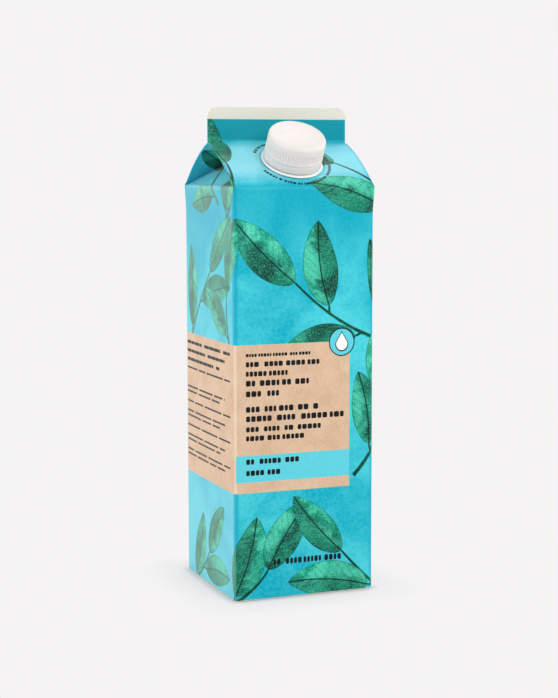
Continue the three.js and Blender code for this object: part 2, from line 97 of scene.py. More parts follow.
# Closure, on its land in the front roof panel
SPOUT_UP_ROOF = 19.8
LAND_HEIGHT = 0.8
LAND_RADIUS = 15.1
LAND_EDGE = 0.6
SOCKET_RADIUS = 11.5
SOCKET_DEPTH = 3.4
SOCKET_SEGMENTS = 72
AXIS = Vector((0, -SLOPE_RISE, SLOPE_RUN))
UP_ROOF = Vector((0, SLOPE_RUN, SLOPE_RISE))
SPOUT_PLACE = Vector((0, -HALF, ROOF_START)) + SPOUT_UP_ROOF * UP_ROOF
LAND_CENTRE = SPOUT_PLACE + LAND_HEIGHT * AXIS

# The printed blank: u runs from the back left fold over left, front, right and back, v runs up
BLANK_LEFT = -WIDTH
BLANK_RIGHT = 3 * WIDTH
SPOUT_ON_BLANK = Vector((HALF, ROOF_START + SPOUT_UP_ROOF))
SEAM = BLANK_RIGHT - FOLD_ARC * 2 / 3 + 0.01   # cut edge of the board along the glued back corner


def bow(x, share):
    """How far a roof panel bows out, at a share of its height."""
    outward = min(x / HALF, 1) ** 2
    height = BOW_MIDDLE + (BOW_EDGE - BOW_MIDDLE) * outward
    power = BOW_POWER_MIDDLE + (BOW_POWER_EDGE - BOW_POWER_MIDDLE) * outward
    return height * (1 - abs(2 * share - 1) ** power)


def smooth(low, high, value):
    """Rises smoothly from 0 at the low value to 1 at the high one."""
    share = min(max((value - low) / (high - low), 0), 1)
    return share * share * (3 - 2 * share)


def round_fold(low, fold, high, share):
    """Point of the round over a fold, from a point below the fold to one above it."""
    low, fold, high = Vector(low), Vector(fold), Vector(high)
    return low * (1 - share) ** 2 + fold * 2 * share * (1 - share) + high * share ** 2


def bend_height(depth):
    """Distance along the roof at which a layer this deep turns up into the fin."""
    return (HALF - DOUBLE_BOARD + depth * (1 - SLOPE_RISE)) / SLOPE_RUN


def roof_layer(x, depth, s, cap_side):
    """Distance from the middle plane and height of a roof layer, s up from the score."""
    bend = bend_height(depth)
    if s > bend:
        return DOUBLE_BOARD - depth, roof_layer(x, depth, bend, False)[1] + s - bend
    height = bow(x, s / ROOF_SLANT) * (1 - smooth(ROOF_SLANT - BOW_END, bend, s))
    if cap_side and depth == 0:
        away = math.hypot(x, s - SPOUT_UP_ROOF)
        height += (LAND_HEIGHT - height) * (1 - smooth(LAND_RADIUS, LAND_RADIUS + LAND_EDGE, away))
    height -= depth
    return HALF - s * SLOPE_RUN + height * SLOPE_RISE, ROOF_START + s * SLOPE_RISE + height * SLOPE_RUN


RIDGE_S = bend_height(0)
STEP_S = RIDGE_S + LAYERS_TOP - STEP_DROP - roof_layer(0, 0, RIDGE_S, False)[1]
STRIP_S = STEP_S + STEP_ARC
TOP_S = STRIP_S + FIN_STRIP
BLANK_TOP = ROOF_START + TOP_S
BLANK_FOOT = FOOT_RADIUS - FOOT_ARC


def strip_reach(z):
    """Distance from the middle to the end of the fin's strip, less in its rounded corners."""
    below = max(z - (FIN_TOP - FIN_CORNER), 0)
    return STRIP_END - FIN_CORNER + math.sqrt(max(FIN_CORNER ** 2 - below ** 2, 0))


def gable(edge, s, cap_side=False):
    """Point of the folded roof or fin: edge is the distance on the blank from the side fold,
    negative on the part of the side panel that is folded under."""
    radius = max(BOARD * min(1, s / NOSE_GROWTH), 1e-6)
    arc = radius * math.pi / 2
    if abs(edge) > arc:
        depth = 0 if edge > 0 else 2 * radius
        x = HALF - radius - (abs(edge) - arc) * (HALF - radius) / (HALF - arc)
    else:
        depth = radius - radius * math.sin(edge / radius)
        x = HALF - radius + radius * math.cos(edge / radius)
    if s <= STEP_S:
        out, z = roof_layer(x, depth, s, cap_side)
        if abs(s - RIDGE_S) < RIDGE_ROUNDING and depth == 0:
            share = (s - RIDGE_S + RIDGE_ROUNDING) / (2 * RIDGE_ROUNDING)
            heights = (RIDGE_S - RIDGE_ROUNDING, RIDGE_S, RIDGE_S + RIDGE_ROUNDING)
            out, z = round_fold(*(roof_layer(x, 0, height, cap_side) for height in heights), share)
        return x, out, z
    turn = min((s - STEP_S) / STEP_ARC, 1) * math.pi / 2
    thickness = BOARD + BOARD * math.cos(turn)
    z = LAYERS_TOP - STEP_DROP * (1 - math.sin(turn)) + max(s - STRIP_S, 0)
    if s > TOP_S:
        thickness = BOARD - (s - TOP_S)
        z = FIN_TOP
    reach = strip_reach(z)
    square_x = reach * (1 - max(edge, 0) / HALF)
    square_out = thickness * (1 + min(edge, 0) / FOLD_ARC)
    blend = math.sin(turn)
    out = DOUBLE_BOARD - depth
    return x + (square_x - x) * blend, out + (square_out - out) * blend, z


def wall(near, v):
    """Point of an upright wall, near its closer upright fold: distances from the two middle planes."""
    turn = max(FOOT_RADIUS - v, 0) / FOOT_RADIUS
    inset = FOOT_RADIUS * (1 - math.cos(turn))
    z = v if v > FOOT_RADIUS else FOOT_RADIUS * (1 - math.sin(turn))
    sharpened = smooth(ROOF_START - CORNER_TAPER, ROOF_START, v)
    radius = max(CORNER_RADIUS * (1 - sharpened) - inset, 1e-6)
    half = HALF - inset
    arc = radius * math.pi / 4
    if near < arc:
        angle = math.pi / 4 * (1 - near / arc)
        return half - radius + radius * math.sin(angle), half - radius + radius * math.cos(angle), z
    x = (half - radius) * (HALF - near) / (HALF - arc)
    share = min(max(v / ROOF_START, 0), 1)
    bulge = WALL_BULGE * (1 - (x / half) ** 2) * 4 * share * (1 - share)
    return x, half + bulge, z


def end_triangle(near, s):
    """Point of a side panel above the score: x here runs along the panel."""
    crease = HALF * s / INNER_SLANT
    if near < crease or s > INNER_SLANT:
        across, along, z = gable(-near, s)
        return along, across, z
    across, along, z = gable(-crease, s)
    share = 1 - (near - crease) / (HALF - crease) if crease < HALF else 0
    return along * share, across, z


def panel_point(near, v, facing, cap_side):
    """Point of a panel, from the foot to the top; facing panels carry the roof and the fin."""
    s = v - ROOF_START

    def upper(along):
        return gable(near, along, cap_side) if facing else end_triangle(near, along)

    reach = SCORE_RADIUS * min(1, near / SCORE_SPREAD)
    if abs(s) < reach:
        share = (s + reach) / (2 * reach)
        return round_fold(wall(near, ROOF_START - reach), wall(near, ROOF_START), upper(reach), share)
    return Vector(wall(near, v) if s <= 0 else upper(s))


def fold_blank(u, v):
    """Place on the folded carton of a point of the flat blank."""
    panel = min(max(math.floor(u / WIDTH), -1), 2)
    along = u - panel * WIDTH
    near = min(max(min(along, WIDTH - along), 0), HALF)
    x, out, z = panel_point(near, v, panel % 2 == 0, panel == 0)
    if along < HALF:
        x = -x
    return Matrix.Rotation(panel * math.pi / 2, 3, "Z") @ Vector((x, -out, z))


# Shapes of the print, in millimetres on the blank

LEAF_POINTS = 22
LEAF_SHIFT = 0.86                    # below 1, the widest place moves towards the stalk
LEAF_FULLNESS = 0.72                 # below 1, the outline is rounder
LEAF_OPENING = 48                    # degrees between the stem and the leaves beside it
OPENING_SPREAD = 7
LEAF_TURN = 6                        # degrees by which a leaf bends back from its stalk
LEAF_BEND = 0.1
SIZE_FALL = 0.28                     # share by which leaves get smaller towards the tip
SIZE_SPREAD = 0.08
TIP_LEAF_LENGTH = 0.86               # shares of a full leaf
TIP_LEAF_WIDTH = 0.84
TIP_LEAF_BEND = 0.06
STEM_POINTS = 16
SPRIG_POINTS = 41
STEM_FOOT_WIDTH = 2.1
STEM_TIP_WIDTH = 1.1
STEM_TONE = 0.25
STALK_LENGTH = 3.4
STALK_WIDTH = 1.3

# Sprigs of a front or back panel, and of a side panel. Each row gives the curve of the stem, the
# number of leaves beside it, their length and width, and the share of the stem where they start
FRONT_SEED = 11
FRONT_SPRIGS = (
    (((82, 118), (54, 124), (30, 148)), 2, 50, 22, 0.34),
    (((-12, 174), (4, 190), (2, 210)), 1, 42, 20, 0.1),
    (((80, 178), (72, 196), (56, 210)), 1, 42, 19, 0.1),
    (((-8, -4), (10, 4), (16, 14)), 1, 44, 20, 0.2),
    (((84, -8), (68, 4), (54, 20)), 1, 44, 19, 0.4),
    (((60, 56), (78, 74), (76, 94)), 1, 40, 18, 0.3),
)
SIDE_SEED = 21
SIDE_SPRIGS = (
    (((6, 112), (18, 134), (38, 152)), 2, 46, 17, 0.2),
    (((66, 116), (58, 132), (62, 146)), 1, 38, 15, 0.2),
    (((6, -6), (24, 4), (34, 16)), 2, 40, 17, 0.2),
    (((50, 184), (36, 194), (22, 206)), 1, 32, 15, 0.2),
)

LABEL_BOTTOM = 51.2
LABEL_TOP = 120.2
LABEL_RIGHT = 57.8
STRIPE_LEFT = 0.2
STRIPE_BOTTOM = 56.3
STRIPE_TOP = 68.8
BADGE_CENTRE = (53.7, 119.8)
BADGE_RADIUS = 6.7
BADGE_RIM = 0.55
DROP_HEIGHT = 4.4                    # tip of the drop over the badge's centre
DROP_RADIUS = 2.9
DROP_OUTLINE = 1.16                  # size of the dark drop behind the white one

# Lines of blocks: middle, right end and height of each line on the front, middles of those on the side
HEADING_SEED = 40
HEADING_LEFT = 5.2
HEADING_LINES = (
    (115.4, 37.5, 1.5), (111.2, 42.8, 2.4), (106.8, 26, 2.4), (102.4, 36.8, 2.7), (97.5, 22.7, 2.7),
    (90.3, 42.5, 2.7), (85.9, 54.8, 2.7), (81, 43.4, 2.4), (76.8, 35, 2.4),
    (65.9, 31.7, 2.5), (60.6, 22.2, 2.5),
)
SMALL_SEED = 60
SMALL_LEFT = -67.7
SMALL_RIGHT = -5
SMALL_RAGGED = 7
SMALL_LINES = (115.6, 111.4, 107.2, 103, 93.6, 91.2, 86.4, 81.6, 79.2, 74.4, 69.6, 67.2, 62.4, 60)
BOLD_LINES = 3
BOLD_HEIGHT = 1.5
SMALL_HEIGHT = 0.9
SMALL_BLOCK = 4
LOW_SEED = 90
LOW_LINE = (18.8, 54, 17.6, 2.9)     # left, right, middle and height
LOW_LINE_BLOCK = 0.55

# Blocks in a line, in shares of its height
WORD_LENGTHS = (2.4, 7)
WORD_GAP = 0.6
LAST_WORD = 1.5
BLOCK_LENGTHS = (0.75, 1.25)
BLOCK_GAP = 0.17
SHORTEST_BLOCK = 0.5

# Ring of strokes round the closure
RING_SEED = 5
RING_INNER = 17.1
RING_OUTER = 18.5
RING_START = 205
RING_END = 510
STROKE_SWEEPS = (2.4, 5)
STROKE_GAPS = (1.1, 1.1, 1.1, 3.2)


def unit(angle):
    """Direction at an angle in radians."""
    return Vector((math.cos(angle), math.sin(angle)))


def heading_of(line):
    """Angle of a direction in degrees."""
    return math.degrees(math.atan2(line.y, line.x))


def bezier(points, count):
    """Points along a quadratic curve."""
    first, middle, last = (Vector(p) for p in points)
    steps = [i / (count - 1) for i in range(count)]
    return [first * (1 - t) ** 2 + middle * 2 * t * (1 - t) + last * t * t for t in steps]


def normals_of(line):
    """Direction to the left of a line at each of its points."""
    found = []
    for i in range(len(line)):
        along = line[min(i + 1, len(line) - 1)] - line[max(i - 1, 0)]
        found.append(Vector((-along.y, along.x)).normalized())
    return found


class Printed:
    """A field of the print: its outline on the blank, its ink and, on a leaf, its midrib."""

    def __init__(self, ink, outline, rib=None, half_widths=None, tone=0.5, flip=1):
        self.ink = ink
        self.outline = outline
        self.rib = rib
        self.half_widths = half_widths
        self.tone = tone
        self.flip = flip

    def local(self, point):
        """Distance along the midrib, signed distance from it, and distance inside the edge."""
        if self.rib is None:
            return 0, 0, 0
        away = [(point - p).length for p in self.rib]
        i = int(np.argmin(away))
        i = min(max(i, 1), len(self.rib) - 2)
        before, after = self.rib[i - 1], self.rib[i + 1]
        line = after - before
        share = min(max((point - before).dot(line) / line.length_squared, 0), 1)
        foot = before + line * share
        side = Vector((-line.y, line.x)).normalized()
        across = (point - foot).dot(side)
        step = (self.rib[-1] - self.rib[0]).length / (len(self.rib) - 1)
        width = self.half_widths[i - 1] + (self.half_widths[i + 1] - self.half_widths[i - 1]) * share
        return (i - 1 + 2 * share) * step, across * self.flip, width - abs(across)


def sides_of(line, half_widths):
    """Points to the left and to the right of a line."""
    across = normals_of(line)
    left = [p + n * w for p, n, w in zip(line, across, half_widths)]
    right = [p - n * w for p, n, w in zip(line, across, half_widths)]
    return left, right


def leaf(base, heading, length, width, bend, tone, flip):
    """Broad leaf with a round shoulder and a short tip."""
    direction = unit(math.radians(heading))
    side = Vector((-direction.y, direction.x))
    base = Vector(base)
    rib = bezier([base, base + direction * length * 0.5 + side * length * bend, base + direction * length],
                 LEAF_POINTS)
    half_widths = []
    for i in range(LEAF_POINTS):
        t = i / (LEAF_POINTS - 1)
        swell = math.sin(math.pi * t ** LEAF_SHIFT) ** LEAF_FULLNESS if 0 < t < 1 else 0
        half_widths.append(width / 2 * swell)
    left, right = sides_of(rib, half_widths)
    return Printed("leaf", right[1:-1] + left[::-1], rib, half_widths, tone, flip)


def stem(points, wide, narrow):
    """Curved line that gets narrower."""
    line = bezier(points, STEM_POINTS)
    half_widths = [(wide + (narrow - wide) * i / (STEM_POINTS - 1)) / 2 for i in range(STEM_POINTS)]
    left, right = sides_of(line, half_widths)
    return Printed("leaf", right + left[::-1], line, half_widths, STEM_TONE)


def sprig(points, leaves, length, width, seed, first):
    """A curved stem with leaves to both sides and one at its tip."""
    rng = random.Random(seed)
    found = [stem(points, STEM_FOOT_WIDTH, STEM_TIP_WIDTH)]
    line = bezier(points, SPRIG_POINTS)
    last = SPRIG_POINTS - 1
    for i in range(leaves):
        share = first + (1 - first) * i / leaves
        step = int(share * last)
        at = line[step]
        ahead = line[min(step + 1, last)] - at
        side = 1 if i % 2 == 0 else -1
        size = 1 - SIZE_FALL * share + rng.uniform(-SIZE_SPREAD, SIZE_SPREAD)
        turned = heading_of(ahead) + side * (LEAF_OPENING + rng.uniform(-OPENING_SPREAD, OPENING_SPREAD))
        foot = at + unit(math.radians(turned)) * STALK_LENGTH
        found.append(stem([at, (at + foot) / 2, foot], STALK_WIDTH, STEM_TIP_WIDTH))
        found.append(leaf(foot, turned - side * LEAF_TURN, length * size, width * size, -side * LEAF_BEND,
                          rng.uniform(0.1, 0.9), rng.choice((-1, 1))))
    heading = heading_of(line[-1] - line[-3])
    found.append(leaf(line[-1], heading, length * TIP_LEAF_LENGTH, width * TIP_LEAF_WIDTH, TIP_LEAF_BEND,
                      rng.uniform(0.2, 0.8), rng.choice((-1, 1))))
    return found


def disc(ink, centre, radius, count=48):
    turns = [2 * math.pi * i / count for i in range(count)]
    return Printed(ink, [Vector(centre) + unit(turn) * radius for turn in turns])


def bar(ink, left, middle, length, height):
    """Level bar with rounded corners."""
    radius = height / 4
    corners = ((left + length, middle + height / 2, 0), (left, middle + height / 2, 1),
               (left, middle - height / 2, 2), (left + length, middle - height / 2, 3))
    outline = []
    for x, y, quarter in corners:
        centre = Vector((x - radius if quarter in (0, 3) else x + radius,
                         y - radius if quarter < 2 else y + radius))
        for step in range(4):
            outline.append(centre + unit((quarter + step / 3) * math.pi / 2) * radius)
    return Printed(ink, outline)


def rectangle(ink, left, bottom, right, top):
    corners = ((left, bottom), (right, bottom), (right, top), (left, top))
    return Printed(ink, [Vector(c) for c in corners])


def words(left, right, middle, height, seed, block=0.8):
    """A line of plain blocks that stands where a line of words would."""
    rng = random.Random(seed)
    found = []
    x = left
    while x < right - height:
        end = min(x + rng.uniform(*WORD_LENGTHS) * height * block, right)
        if right - end < LAST_WORD * height:
            end = right
        while x < end - SHORTEST_BLOCK * height:
            length = min(rng.uniform(*BLOCK_LENGTHS) * height * block, end - x)
            found.append(bar("ink", x, middle, length, height))
            x += length + BLOCK_GAP * height
        x = end + WORD_GAP * height * block
    return found


def foliage():
    """Sprigs of broad leaves that run over all four panels."""
    panels = ((0, FRONT_SPRIGS, FRONT_SEED), (2 * WIDTH, FRONT_SPRIGS, FRONT_SEED),
              (-WIDTH, SIDE_SPRIGS, SIDE_SEED), (WIDTH, SIDE_SPRIGS, SIDE_SEED))
    found = []
    for shift, sprigs, seed in panels:
        for number, (points, leaves, length, width, first) in enumerate(sprigs):
            moved = [(shift + u, v) for u, v in points]
            found += sprig(moved, leaves, length, width, seed + number + shift, first)
    return found


def label():
    """Plain label over the front and left panels, with its stripe and its lines of blocks."""
    found = [rectangle("kraft", BLANK_LEFT, LABEL_BOTTOM, LABEL_RIGHT, LABEL_TOP),
             rectangle("stripe", STRIPE_LEFT, STRIPE_BOTTOM, LABEL_RIGHT, STRIPE_TOP)]
    for i, (middle, right, height) in enumerate(HEADING_LINES):
        found += words(HEADING_LEFT, right, middle, height, HEADING_SEED + i)
    for i, middle in enumerate(SMALL_LINES):
        right = SMALL_RIGHT - SMALL_RAGGED * (i % 3)
        height = BOLD_HEIGHT if i < BOLD_LINES else SMALL_HEIGHT
        found += words(SMALL_LEFT, right, middle, height, SMALL_SEED + i, SMALL_BLOCK)
    return found


def badge():
    """Round badge with a plain drop."""
    centre = Vector(BADGE_CENTRE)
    tip = centre + Vector((0, DROP_HEIGHT))
    turns = [math.radians(degrees) for degrees in range(-220, 41, 13)]
    belly = [centre - Vector((0, 1)) + unit(turn) * DROP_RADIUS for turn in turns]
    drop = [*belly, tip]
    grown = [centre + (point - centre) * DROP_OUTLINE for point in drop]
    return [disc("ink", centre, BADGE_RADIUS), disc("stripe", centre, BADGE_RADIUS - BADGE_RIM),
            Printed("ink", grown), Printed("white", drop)]


def ring_strokes():
    """Short dark strokes in a ring round the closure."""
    found = []
    rng = random.Random(RING_SEED)
    angle = RING_START
    while angle < RING_END:
        sweep = rng.uniform(*STROKE_SWEEPS)
        turns = [math.radians(angle + sweep * i / 4) for i in range(5)]
        outer = [SPOUT_ON_BLANK + unit(turn) * RING_OUTER for turn in turns]
        inner = [SPOUT_ON_BLANK + unit(turn) * RING_INNER for turn in turns]
        found.append(Printed("ink", inner[::-1] + outer))
        angle += sweep + rng.choice(STROKE_GAPS)
    return found


def printed_fields():
    """All fields of the print, the later ones over the earlier ones."""
    return [*foliage(), *label(), *badge(), *ring_strokes(), *words(*LOW_LINE, LOW_SEED, LOW_LINE_BLOCK)]


# The carton's skin

GRID_COLUMNS = 81
GRID_ROWS = 56
GRID_MARGIN = 4
GRID_CLEARANCE = 1.2
WELD = 0.002


def grid_lines(low, high, count, lines):
    """Evenly spread lines, apart from those that would lie close to the lines given."""
    spread = np.linspace(low, high, count)
    return [x for x in spread if all(abs(x - line) > GRID_CLEARANCE for line in lines)]


def fold_lines():
    """Lines of the blank along which the skin needs points."""
    offsets = [FOLD_ARC * share for share in (0, 1 / 3, 2 / 3, 1, 4 / 3, 5 / 3, 2)]
    upright = set()
    for corner in range(-1, 4):
        for offset in offsets:
            upright.add(round(corner * WIDTH + offset, 4))
            upright.add(round(corner * WIDTH - offset, 4))
    level = [BLANK_FOOT + FOOT_ARC * i / 5 for i in range(6)]
    level += [FOOT_BAND]
    level += [ROOF_START + SCORE_RADIUS * i / 4 for i in range(-4, 5)]
    level += [ROOF_START + INNER_SLANT]
    level += [ROOF_START + RIDGE_S + RIDGE_ROUNDING * i / 3 for i in range(-3, 4)]
    level += [ROOF_START + STEP_S + STEP_ARC * i / 4 for i in range(5)]
    arc = [math.sin(math.radians(a)) for a in range(0, 91, 10)]
    level += [BLANK_TOP - FIN_CORNER * (1 - share) for share in arc]
    level += [BLANK_TOP + BOARD]
    columns = grid_lines(BLANK_LEFT, BLANK_RIGHT, GRID_COLUMNS, upright)
    rows = grid_lines(GRID_MARGIN, ROOF_START + RIDGE_S - GRID_MARGIN, GRID_ROWS, level)
    upright = [u for u in upright if BLANK_LEFT <= u <= BLANK_RIGHT]
    return sorted(upright) + columns, sorted(set(round(v, 4) for v in level)) + rows


def crease_lines():
    """Diagonal folds of the side panels."""
    found = []
    for panel in (-1, 1):
        for corner in (0, 1):
            low = Vector(((panel + corner) * WIDTH, ROOF_START))
            high = Vector(((panel + 0.5) * WIDTH, ROOF_START + INNER_SLANT))
            found.append((low, high))
    return found


def on_blank(u, v):
    """Whether the skin has this place of the blank."""
    if (Vector((u, v)) - SPOUT_ON_BLANK).length < SOCKET_RADIUS - 0.02:
        return False
    panel = math.floor(u / WIDTH)
    if panel % 2 == 0:
        return True
    s = v - ROOF_START
    near = min(u - panel * WIDTH, WIDTH - u + panel * WIDTH)
    return s < INNER_SLANT or (near < FOLD_ARC and s < TOP_S)


def triangulate(fields):
    """Cuts the blank along its folds and the outlines of the print."""
    points, edges, faces = [], [], []

    def add_line(a, b):
        points.extend((Vector(a), Vector(b)))
        edges.append((len(points) - 2, len(points) - 1))

    upright, level = fold_lines()
    for u in upright:
        add_line((u, BLANK_FOOT), (u, BLANK_TOP + BOARD))
    for v in level:
        add_line((BLANK_LEFT, v), (BLANK_RIGHT, v))
    for low, high in crease_lines():
        add_line(low, high)
    for radius in (SOCKET_RADIUS, LAND_RADIUS, LAND_RADIUS + LAND_EDGE / 2, LAND_RADIUS + LAND_EDGE):
        ring = disc("", SPOUT_ON_BLANK, radius, SOCKET_SEGMENTS).outline
        for i, point in enumerate(ring):
            add_line(point, ring[(i + 1) % len(ring)])
    for field in fields:
        if field.rib is not None:
            for a, b in zip(field.rib, field.rib[1:]):
                add_line(a, b)
    for field in fields:
        start = len(points)
        points.extend(field.outline)
        faces.append(list(range(start, len(points))))
    found = delaunay_2d_cdt(points, edges, faces, 0, WELD, True)
    return found[0], found[2], found[5]


class Surface:
    """Collects welded corners and faces, with a material and print coordinates for each face corner."""

    def __init__(self):
        self.corners = []
        self.index = {}
        self.faces = []
        self.inks = []
        self.prints = []

    def corner(self, point):
        key = tuple(round(c, 3) for c in point)
        if key not in self.index:
            self.index[key] = len(self.corners)
            self.corners.append(point)
        return self.index[key]

    def face(self, points, ink, prints=None):
        corners = [self.corner(p) for p in points]
        if len(set(corners)) < len(corners):
            return
        self.faces.append(corners)
        self.inks.append(ink)
        self.prints.append(prints or [(0, 0, 0, 0, 0, 0)] * len(corners))

    def band(self, low, high):
        """Bare board between two rings of points."""
        for i in range(len(low)):
            j = (i + 1) % len(low)
            self.face([low[i], low[j], high[j], high[i]], "board")

    def fan(self, ring, middle):
        """Bare board from a ring of points to a point in its middle."""
        for i in range(len(ring)):
            self.face([ring[i], ring[(i + 1) % len(ring)], middle], "board")


def carton_skin(surface):
    """Folds the printed blank round the carton."""
    fields = printed_fields()
    corners, faces, owners = triangulate(fields)
    places = [fold_blank(c.x, c.y) for c in corners]
    for face, owner in zip(faces, owners):
        centre = sum((corners[i] for i in face), Vector((0, 0))) / len(face)
        if not BLANK_FOOT < centre.y < BLANK_TOP + BOARD or not BLANK_LEFT < centre.x < BLANK_RIGHT:
            continue
        if not on_blank(centre.x, centre.y):
            continue
        bare = centre.y < FOOT_BAND or centre.y > ROOF_START + STRIP_S or centre.x > SEAM
        field = fields[max(owner)] if owner and not bare else None
        ink = field.ink if field else "board" if bare else "turquoise"
        prints = []
        for i in face:
            along, across, inside = field.local(corners[i]) if field else (0, 0, 0)
            tone = field.tone if field else 0
            prints.append((corners[i].x, corners[i].y, along, across, inside, tone))
        surface.face([places[i] for i in face], ink, prints)


def socket(surface):
    """Hole in the roof that holds the foot of the spout."""
    rim = [fold_blank(p.x, p.y) for p in disc("", SPOUT_ON_BLANK, SOCKET_RADIUS, SOCKET_SEGMENTS).outline]
    floor = [p - AXIS * SOCKET_DEPTH for p in rim]
    surface.band(floor, rim)
    surface.fan(floor, sum(floor, Vector()) / len(floor))


def underside(surface):
    """Folded rim round the recessed base."""
    edge = [surface.corners[i] for i in set(i for f in surface.faces for i in f)
            if abs(surface.corners[i].z) < 1e-4]
    edge.sort(key=lambda p: math.atan2(p.y, p.x))
    foot = HALF - FOOT_RADIUS
    rings = [edge]
    for z, inset in ((0, RIM_WIDTH), (RIM_CHAMFER_HEIGHT, RIM_WIDTH + RIM_CHAMFER),
                     (BASE_RECESS, RIM_WIDTH + BOARD)):
        shrink = (foot - inset) / foot
        rings.append([Vector((p.x * shrink, p.y * shrink, z)) for p in edge])
    for outer, inner in zip(rings, rings[1:]):
        surface.band(inner, outer)
    surface.fan(rings[-1][::-1], Vector((0, 0, BASE_RECESS)))


def base_flap(surface):
    """Outer base flap, lapped over the inner one and sealed to it."""
    foot = HALF - FOOT_RADIUS - RIM_WIDTH - BOARD - FLAP_GAP
    low, high = BASE_RECESS - BOARD, BASE_RECESS + FLAP_GAP
    inner = foot - FLAP_CORNER
    side_end = BASE_LAP - FLAP_CORNER
    outline = [(-foot, -foot), (foot, -foot), (foot, side_end), (inner, BASE_LAP), (-inner, BASE_LAP),
               (-foot, side_end)]
    bottom = [Vector((x, y, low)) for x, y in outline]
    top = [Vector((x, y, high)) for x, y in outline]
    surface.face(bottom[::-1], "board")
    surface.face(top, "board")
    surface.band(bottom, top)


# Materials

def srgb(code):
    """Linear colour of a #rrggbb code."""
    found = []
    for i in (1, 3, 5):
        value = int(code[i:i + 2], 16) / 255
        found.append(value / 12.92 if value <= 0.04045 else ((value + 0.055) / 1.055) ** 2.4)
    return (*found, 1)


class Shader:
    """A material's node tree, with short calls for the nodes that it uses."""

    def __init__(self, name):
        self.material = bpy.data.materials.new(name)
        self.material.use_nodes = True
        self.tree = self.material.node_tree
        self.bsdf = self.tree.nodes["Principled BSDF"]
        self.output = self.tree.nodes["Material Output"]

    def node(self, kind, inputs=(), **props):
        made = self.tree.nodes.new("ShaderNode" + kind)
        for key, value in props.items():
            setattr(made, key, value)
        for key, value in dict(inputs).items():
            self.set(made.inputs[key], value)
        return made

    def set(self, socket, value):
        if isinstance(value, bpy.types.NodeSocket):
            self.tree.links.new(value, socket)
        else:
            socket.default_value = value

    def math(self, operation, *values, clamp=False):
        made = self.node("Math", operation=operation, use_clamp=clamp)
        for socket, value in zip(made.inputs, values):
            self.set(socket, value)
        return made.outputs[0]

    def times(self, a, b):
        return self.math("MULTIPLY", a, b)

    def vector(self, operation, *values, output="Vector"):
        made = self.node("VectorMath", operation=operation)
        for socket, value in zip(made.inputs, values):
            self.set(socket, value)
        return made.outputs[output]

    def mix(self, factor, a, b):
        made = self.node("Mix", data_type="RGBA")
        self.set(made.inputs["Factor"], factor)
        self.set(made.inputs["A"], a)
        self.set(made.inputs["B"], b)
        return made.outputs["Result"]

    def range(self, value, low, high, to_low=0.0, to_high=1.0, smooth=True):
        made = self.node("MapRange", interpolation_type="SMOOTHSTEP" if smooth else "LINEAR")
        for key, number in (("Value", value), ("From Min", low), ("From Max", high),
                            ("To Min", to_low), ("To Max", to_high)):
            self.set(made.inputs[key], number)
        return made.outputs["Result"]

    def between(self, value, start, full, fall, end):
        """Rises from 0 to 1 and falls to 0 again."""
        return self.times(self.range(value, start, full), self.range(value, fall, end, 1.0, 0.0))

    def tint(self, color, code, value, low, high, amount):
        """Mixes in an amount of another colour as the value goes from low to high."""
        return self.mix(self.range(value, low, high, 0.0, amount), color, srgb(code))

    def noise(self, vector, scale, detail=3, roughness=0.55, distortion=0.0):
        made = self.node("TexNoise", {"Vector": vector, "Scale": scale, "Detail": detail,
                                      "Roughness": roughness, "Distortion": distortion})
        return made.outputs["Fac"]

    def uv(self, name):
        return self.node("UVMap", uv_map=name).outputs["UV"]

    def split(self, vector):
        made = self.node("SeparateXYZ", {"Vector": vector})
        return made.outputs["X"], made.outputs["Y"]

    def mix_shaders(self, factor, first, second):
        made = self.node("MixShader", {"Fac": factor})
        self.tree.links.new(first.outputs[0], made.inputs[1])
        self.tree.links.new(second.outputs[0], made.inputs[2])
        return made

    def finish(self, color, roughness, bump, strength, distance, plain_values):
        """Joins colour, roughness and bump to the surface, and sets its plain values."""
        self.set(self.bsdf.inputs["Base Color"], color)
        self.set(self.bsdf.inputs["Roughness"], roughness)
        for name, value in plain_values.items():
            self.bsdf.inputs[name].default_value = value
        made = self.node("Bump", {"Height": bump, "Strength": strength, "Distance": distance})
        self.set(self.bsdf.inputs["Normal"], made.outputs["Normal"])
        return self.material


BOARD_ROUGHNESS = 0.34
BOARD_COAT = 0.03
BARE_COAT = 0.2
BOARD_SPECULAR = 0.08
BOARD_SHEEN = 0.6
BOARD_SHEEN_ROUGHNESS = 0.24
PLASTIC_SPECULAR = 0.45
UV_UNIT = 100                        # millimetres of blank in one unit of a print coordinate
SCORE_V = round(ROOF_START) / UV_UNIT
RIDGE_V = (ROOF_START + RIDGE_S) / UV_UNIT
PANEL_U = WIDTH / UV_UNIT
VEIN_SPACING = 0.04
JAW_LINE_SPACING = 0.009


def board_finish(shader, color, coat=BOARD_COAT):
    """Coated board: a faint orange peel under a satin gloss."""
    blank = shader.uv("blank")
    fine = shader.noise(blank, 140, 3)
    broad = shader.noise(blank, 5, 2)
    height = shader.math("ADD", shader.times(fine, 0.25), shader.times(broad, 2.5))
    rough = shader.range(fine, 0.3, 0.7, BOARD_ROUGHNESS - 0.03, BOARD_ROUGHNESS + 0.05, False)
    return shader.finish(color, rough, height, 0.25, 0.0003, {
        "Coat Weight": coat, "Coat Roughness": 0.16, "Specular IOR Level": BOARD_SPECULAR,
        "Sheen Weight": BOARD_SHEEN, "Sheen Roughness": BOARD_SHEEN_ROUGHNESS})


def off_fold(shader, u):
    """Distance from the nearest upright fold."""
    return shader.math("PINGPONG", u, PANEL_U / 2)


def side_panel(shader, u):
    """1 on the left and right panels, 0 on the front and back."""
    return shader.math("GREATER_THAN", shader.math("FLOORED_MODULO", u, 2 * PANEL_U), PANEL_U)


